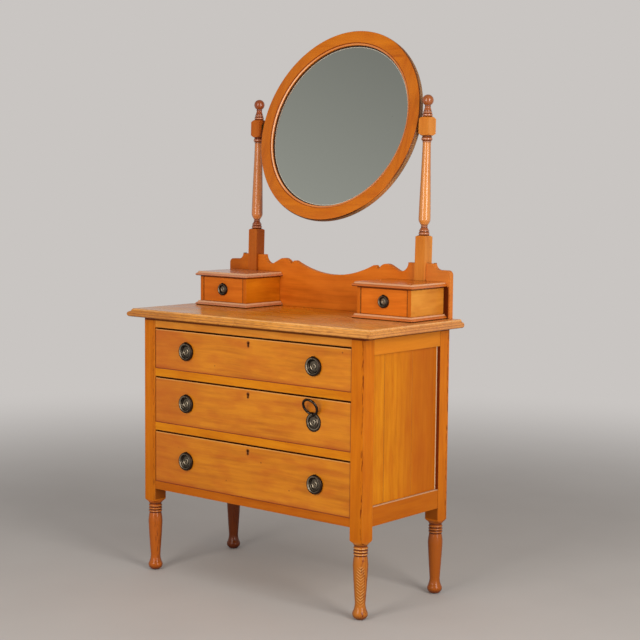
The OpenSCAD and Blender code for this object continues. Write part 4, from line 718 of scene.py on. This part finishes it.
class DRESSING_TABLE_OT_mirror(Step):
    """Polish the round frame, silver the glass and finish the backing and the pivots"""
    bl_idname = "dressing_table.mirror"
    bl_label = "Mirror"

    def execute(self, context):
        s = context.scene.dressing_table.wood
        joint = next(j for j in frame["joints"] if j["name"] == "mirror_tilt")
        pivot = Vector(joint["pos_m"])
        # Redder quarters on the left and right, painted shade in the groove outside the bead round the glass, the
        # bead's painted highlight, brighter on the left, painted shade on the edge below and on the right beside the
        # post, and painted shade at the bead's foot
        bands = [(0, -0.31, -0.23, 0.1, "#9a4618", 0.25), (0, 0.23, 0.31, 0.1, "#9a4618", 0.25),
                 ("ring", *FRAME_GROOVE, 0.8 * MM, "#7e2a08", 0.6),
                 ("ring", *FRAME_BEAD, 1.0 * MM, "#e8a070", 0.35),
                 ("ring", *FRAME_BEAD, 1.0 * MM, "#ffc89a", 0.6, (0, -0.3, -0.2, 0.08)),
                 ("ring", FRAME_EDGE + 0.4 * MM, FRAME_END, 0.3 * MM, "#260a02", 0.92, (2, 1.0, 1.12, 0.04)),
                 ("ring", *FRAME_FOOT, 0.5 * MM, "#1c0802", 0.95),
                 ("ring", FRAME_EDGE, FRAME_END, 0.3 * MM, "#3a1404", 0.75, (0, 0.15, 0.31, 0.03),
                  (2, 1.24, 1.6, 0.05))]
        # Painted shade in the grooves between the reeds on the edge, and painted highlights on their rubbed crests
        outside = ("ring", FRAME_EDGE, FRAME_END)
        bands += [line("deep", v, 0.6 * MM, 0.5 * MM, "#3a1206", 0.75, outside) for v in REED_GROOVES]
        bands += [line("deep", v, 0.7 * MM, 0.6 * MM, "#e8b87c", 0.5, outside) for v in REED_CRESTS]
        finish(wood("Polished mirror frame", s.orange, shift=48.3, ring=(MIRROR_LEAN, pivot), cloud=0.4,
                    rough=0.26, gloss=0.15, coat=0.25, bump=0.1, worn=0, wax_and_shade=0.25, wax_and_shade_reach=3 * MM,
                    bands=bands), "mirror_frame")
        finish(silvered_glass("Silvered plate glass", (MIRROR_LEAN, pivot)), "mirror_glass")
        finish(bare_wood("Bare mirror back", "Z", 51.9, lean=MIRROR_LEAN), "mirror_backing")
        finish(dull_brass("Dull brass pivots"), "mirror_pivots", "pivot_sockets")
        return {"FINISHED"}


class DRESSING_TABLE_OT_handles(Step):
    """Finish the ring handles and the locks"""
    bl_idname = "dressing_table.handles"
    bl_label = "Handles and locks"

    def execute(self, context):
        brass = dull_brass("Dull brass lock")
        # The boss, the disc with its two rings, and the front of the pull
        ridges = ((0.0, 1.6 * MM, 0.6), (0.0, 14 * MM, 0.24), (4.8 * MM, 0.6 * MM, 0.5), (8.8 * MM, 0.8 * MM, 0.6),
                  (17 * MM, 0.9 * MM, 0.35), (21.6 * MM, 1.4 * MM, 0.45))
        for name in DRAWERS:
            drawer = name + "_drawer_"
            low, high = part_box(drawer + "plates")
            z = (low.z + high.z) / 2
            centres = ((low.x + PLATE_R, z), (high.x - PLATE_R, z))
            finish(bronzed("Bronzed plates, " + name, ridges, centres), drawer + "plates", drawer + "ring_left",
                   drawer + "ring_right")
            finish(brass, drawer + "lock", drawer + "bolt")
        finish(bronzed("Bronzed ring, raised", rough=0.24), "middle_drawer_ring_right")
        ridges = ((0.0, 1.4 * MM, 0.6), (0.0, 9 * MM, 0.5), (5.4 * MM, 0.6 * MM, 0.4), (14 * MM, 0.9 * MM, 0.4))
        for side in SIDES:
            low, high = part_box("jewel_%s_drawer_plate" % side)
            centre = ((low.x + high.x) / 2, (low.z + high.z) / 2)
            finish(bronzed("Bronzed small plate, " + side, ridges, (centre,)), "jewel_%s_drawer_plate" % side,
                   "jewel_%s_drawer_ring" % side)
        return {"FINISHED"}


# Stage

def direction(azimuth, elevation):
    """Direction from the chest: azimuth turns from the front to the right, elevation rises."""
    return Vector((sin(azimuth) * cos(elevation), -cos(azimuth) * cos(elevation), sin(elevation)))


def look_at(studio):
    """Place and turn of the camera: a basis of right, up and back, rolled about its own axis."""
    roll = radians(studio.roll)
    back = direction(radians(studio.azimuth), radians(studio.elevation))
    right = Vector((0, 0, 1)).cross(back).normalized()
    up = back.cross(right)
    turned = Matrix((right * cos(roll) + up * sin(roll), up * cos(roll) - right * sin(roll), back)).transposed()
    return Matrix.Translation(Vector(studio.aim) + back * studio.distance) @ turned.to_4x4()


class DRESSING_TABLE_OT_studio(Step):
    """Set the camera, the floor, the room's light and two soft boxes"""
    bl_idname = "dressing_table.studio"
    bl_label = "Studio"

    def execute(self, context):
        scene = context.scene
        studio = scene.dressing_table.studio
        camera = bpy.data.cameras.new("Camera")
        camera.lens = studio.lens
        camera.sensor_width = 36
        holder = bpy.data.objects.new("Camera", camera)
        holder.matrix_world = look_at(studio)
        scene.collection.objects.link(holder)
        scene.camera = holder
        self.floor(scene, studio)
        self.room(scene, studio)
        middle = Vector((0, 0, 0.85))
        for name, azimuth, width, power in (("Soft box left", 4, 1.3, studio.left),
                                            ("Soft box right", 76, 1.4, studio.right)):
            lamp = bpy.data.lights.new(name, "AREA")
            lamp.shape = "RECTANGLE"
            lamp.size = width
            lamp.size_y = BOX_HEIGHT
            lamp.energy = power
            lamp.color = linear("#fffaf4")[:3]
            box = bpy.data.objects.new(name, lamp)
            away = direction(radians(azimuth), BOX_RISE)
            box.location = middle + away * BOX_AWAY
            box.rotation_euler = away.to_track_quat("Z", "Y").to_euler()
            scene.collection.objects.link(box)
        scene.view_settings.view_transform = "Standard"
        return {"FINISHED"}

    def floor(self, scene, studio):
        """A round floor that fades into the backdrop's colour far from the chest."""
        shape = bmesh.new()
        bmesh.ops.create_circle(shape, cap_ends=True, segments=96, radius=FLOOR_R)
        mesh = bpy.data.meshes.new("Floor")
        shape.to_mesh(mesh)
        shape.free()
        floor = bpy.data.objects.new("Floor", mesh)
        scene.collection.objects.link(floor)
        made, tree = material("Painted floor")
        place = add(tree, "ShaderNodeTexCoord", out="Object")
        away = add(tree, "ShaderNodeVectorMath", {0: place}, out="Value", operation="LENGTH")
        far = add(tree, "ShaderNodeMapRange", {0: away, 1: FADE_FROM, 2: FADE_TO}, interpolation_type="SMOOTHSTEP")
        grain = add(tree, "ShaderNodeTexNoise", {"Vector": place, "Scale": 3.0, "Detail": 3.0})
        paint = add(tree, "ShaderNodeMix", {0: grain, 6: linear(studio.floor), 7: linear("#bab6b3")}, out=2,
                    data_type="RGBA")
        near = add(tree, "ShaderNodeBsdfPrincipled", {"Base Color": paint, "Roughness": 0.75})
        glow = add(tree, "ShaderNodeEmission", {"Color": linear(studio.backdrop), "Strength": 1.0})
        mixed = add(tree, "ShaderNodeMixShader", {0: far, 1: near, 2: glow})
        add(tree, "ShaderNodeOutputMaterial", {"Surface": mixed})
        mesh.materials.append(made)

    def room(self, scene, studio):
        """A room that is pale up to eye level and dimmer above, with a softly lit ceiling."""
        world = bpy.data.worlds.new("Studio")
        world.use_nodes = True
        tree = world.node_tree
        tree.nodes.clear()
        height = add(tree, "ShaderNodeTexCoord", out="Generated")
        pale = linear(studio.backdrop)
        sky = shade(pale, *[studio.sky / pale[0]] * 3)
        level = [shade(pale, *[light / pale[0]] * 3) for light in (0.54, 0.43, 0.29)]
        height = add(tree, "ShaderNodeSeparateXYZ", {0: height}, out=2)
        light = add(tree, "ShaderNodeValToRGB", {0: height},
                    stops=[(0.12, pale), (0.8, sky), (0.3, level[0]), (0.42, level[1]), (0.51, level[2])])
        back = add(tree, "ShaderNodeBackground", {"Color": light})
        add(tree, "ShaderNodeOutputWorld", {"Surface": back})
        scene.world = world


class DRESSING_TABLE_PT_panel(Panel):
    """Steps and settings of the dressing table"""
    bl_label = "Dressing Table"
    bl_space_type = "VIEW_3D"
    bl_region_type = "UI"
    bl_category = "Dressing Table"

    def draw(self, context):
        settings = context.scene.dressing_table
        for step in STEPS:
            self.layout.operator(step.bl_idname)
        for group in (settings.wood, settings.metal, settings.mirror, settings.studio):
            part = self.layout.box()
            for key in group.__annotations__:
                part.prop(group, key)


STEPS = (
    DRESSING_TABLE_OT_carcase, DRESSING_TABLE_OT_drawers, DRESSING_TABLE_OT_jewel_boxes,
    DRESSING_TABLE_OT_gallery, DRESSING_TABLE_OT_mirror, DRESSING_TABLE_OT_handles,
    DRESSING_TABLE_OT_studio,
)
GROUPS = (WoodSettings, MetalSettings, MirrorSettings, StudioSettings, DressingTableSettings)
CLASSES = GROUPS + STEPS + (DRESSING_TABLE_PT_panel,)


def register():
    for kind in CLASSES:
        bpy.utils.register_class(kind)
    bpy.types.Scene.dressing_table = PointerProperty(type=DressingTableSettings)


def unregister():
    del bpy.types.Scene.dressing_table
    for kind in reversed(CLASSES):
        bpy.utils.unregister_class(kind)


def main():
    register()
    for step in STEPS:
        getattr(bpy.ops.dressing_table, step.bl_idname.split(".")[1])()


if __name__ == "__main__":
    main()
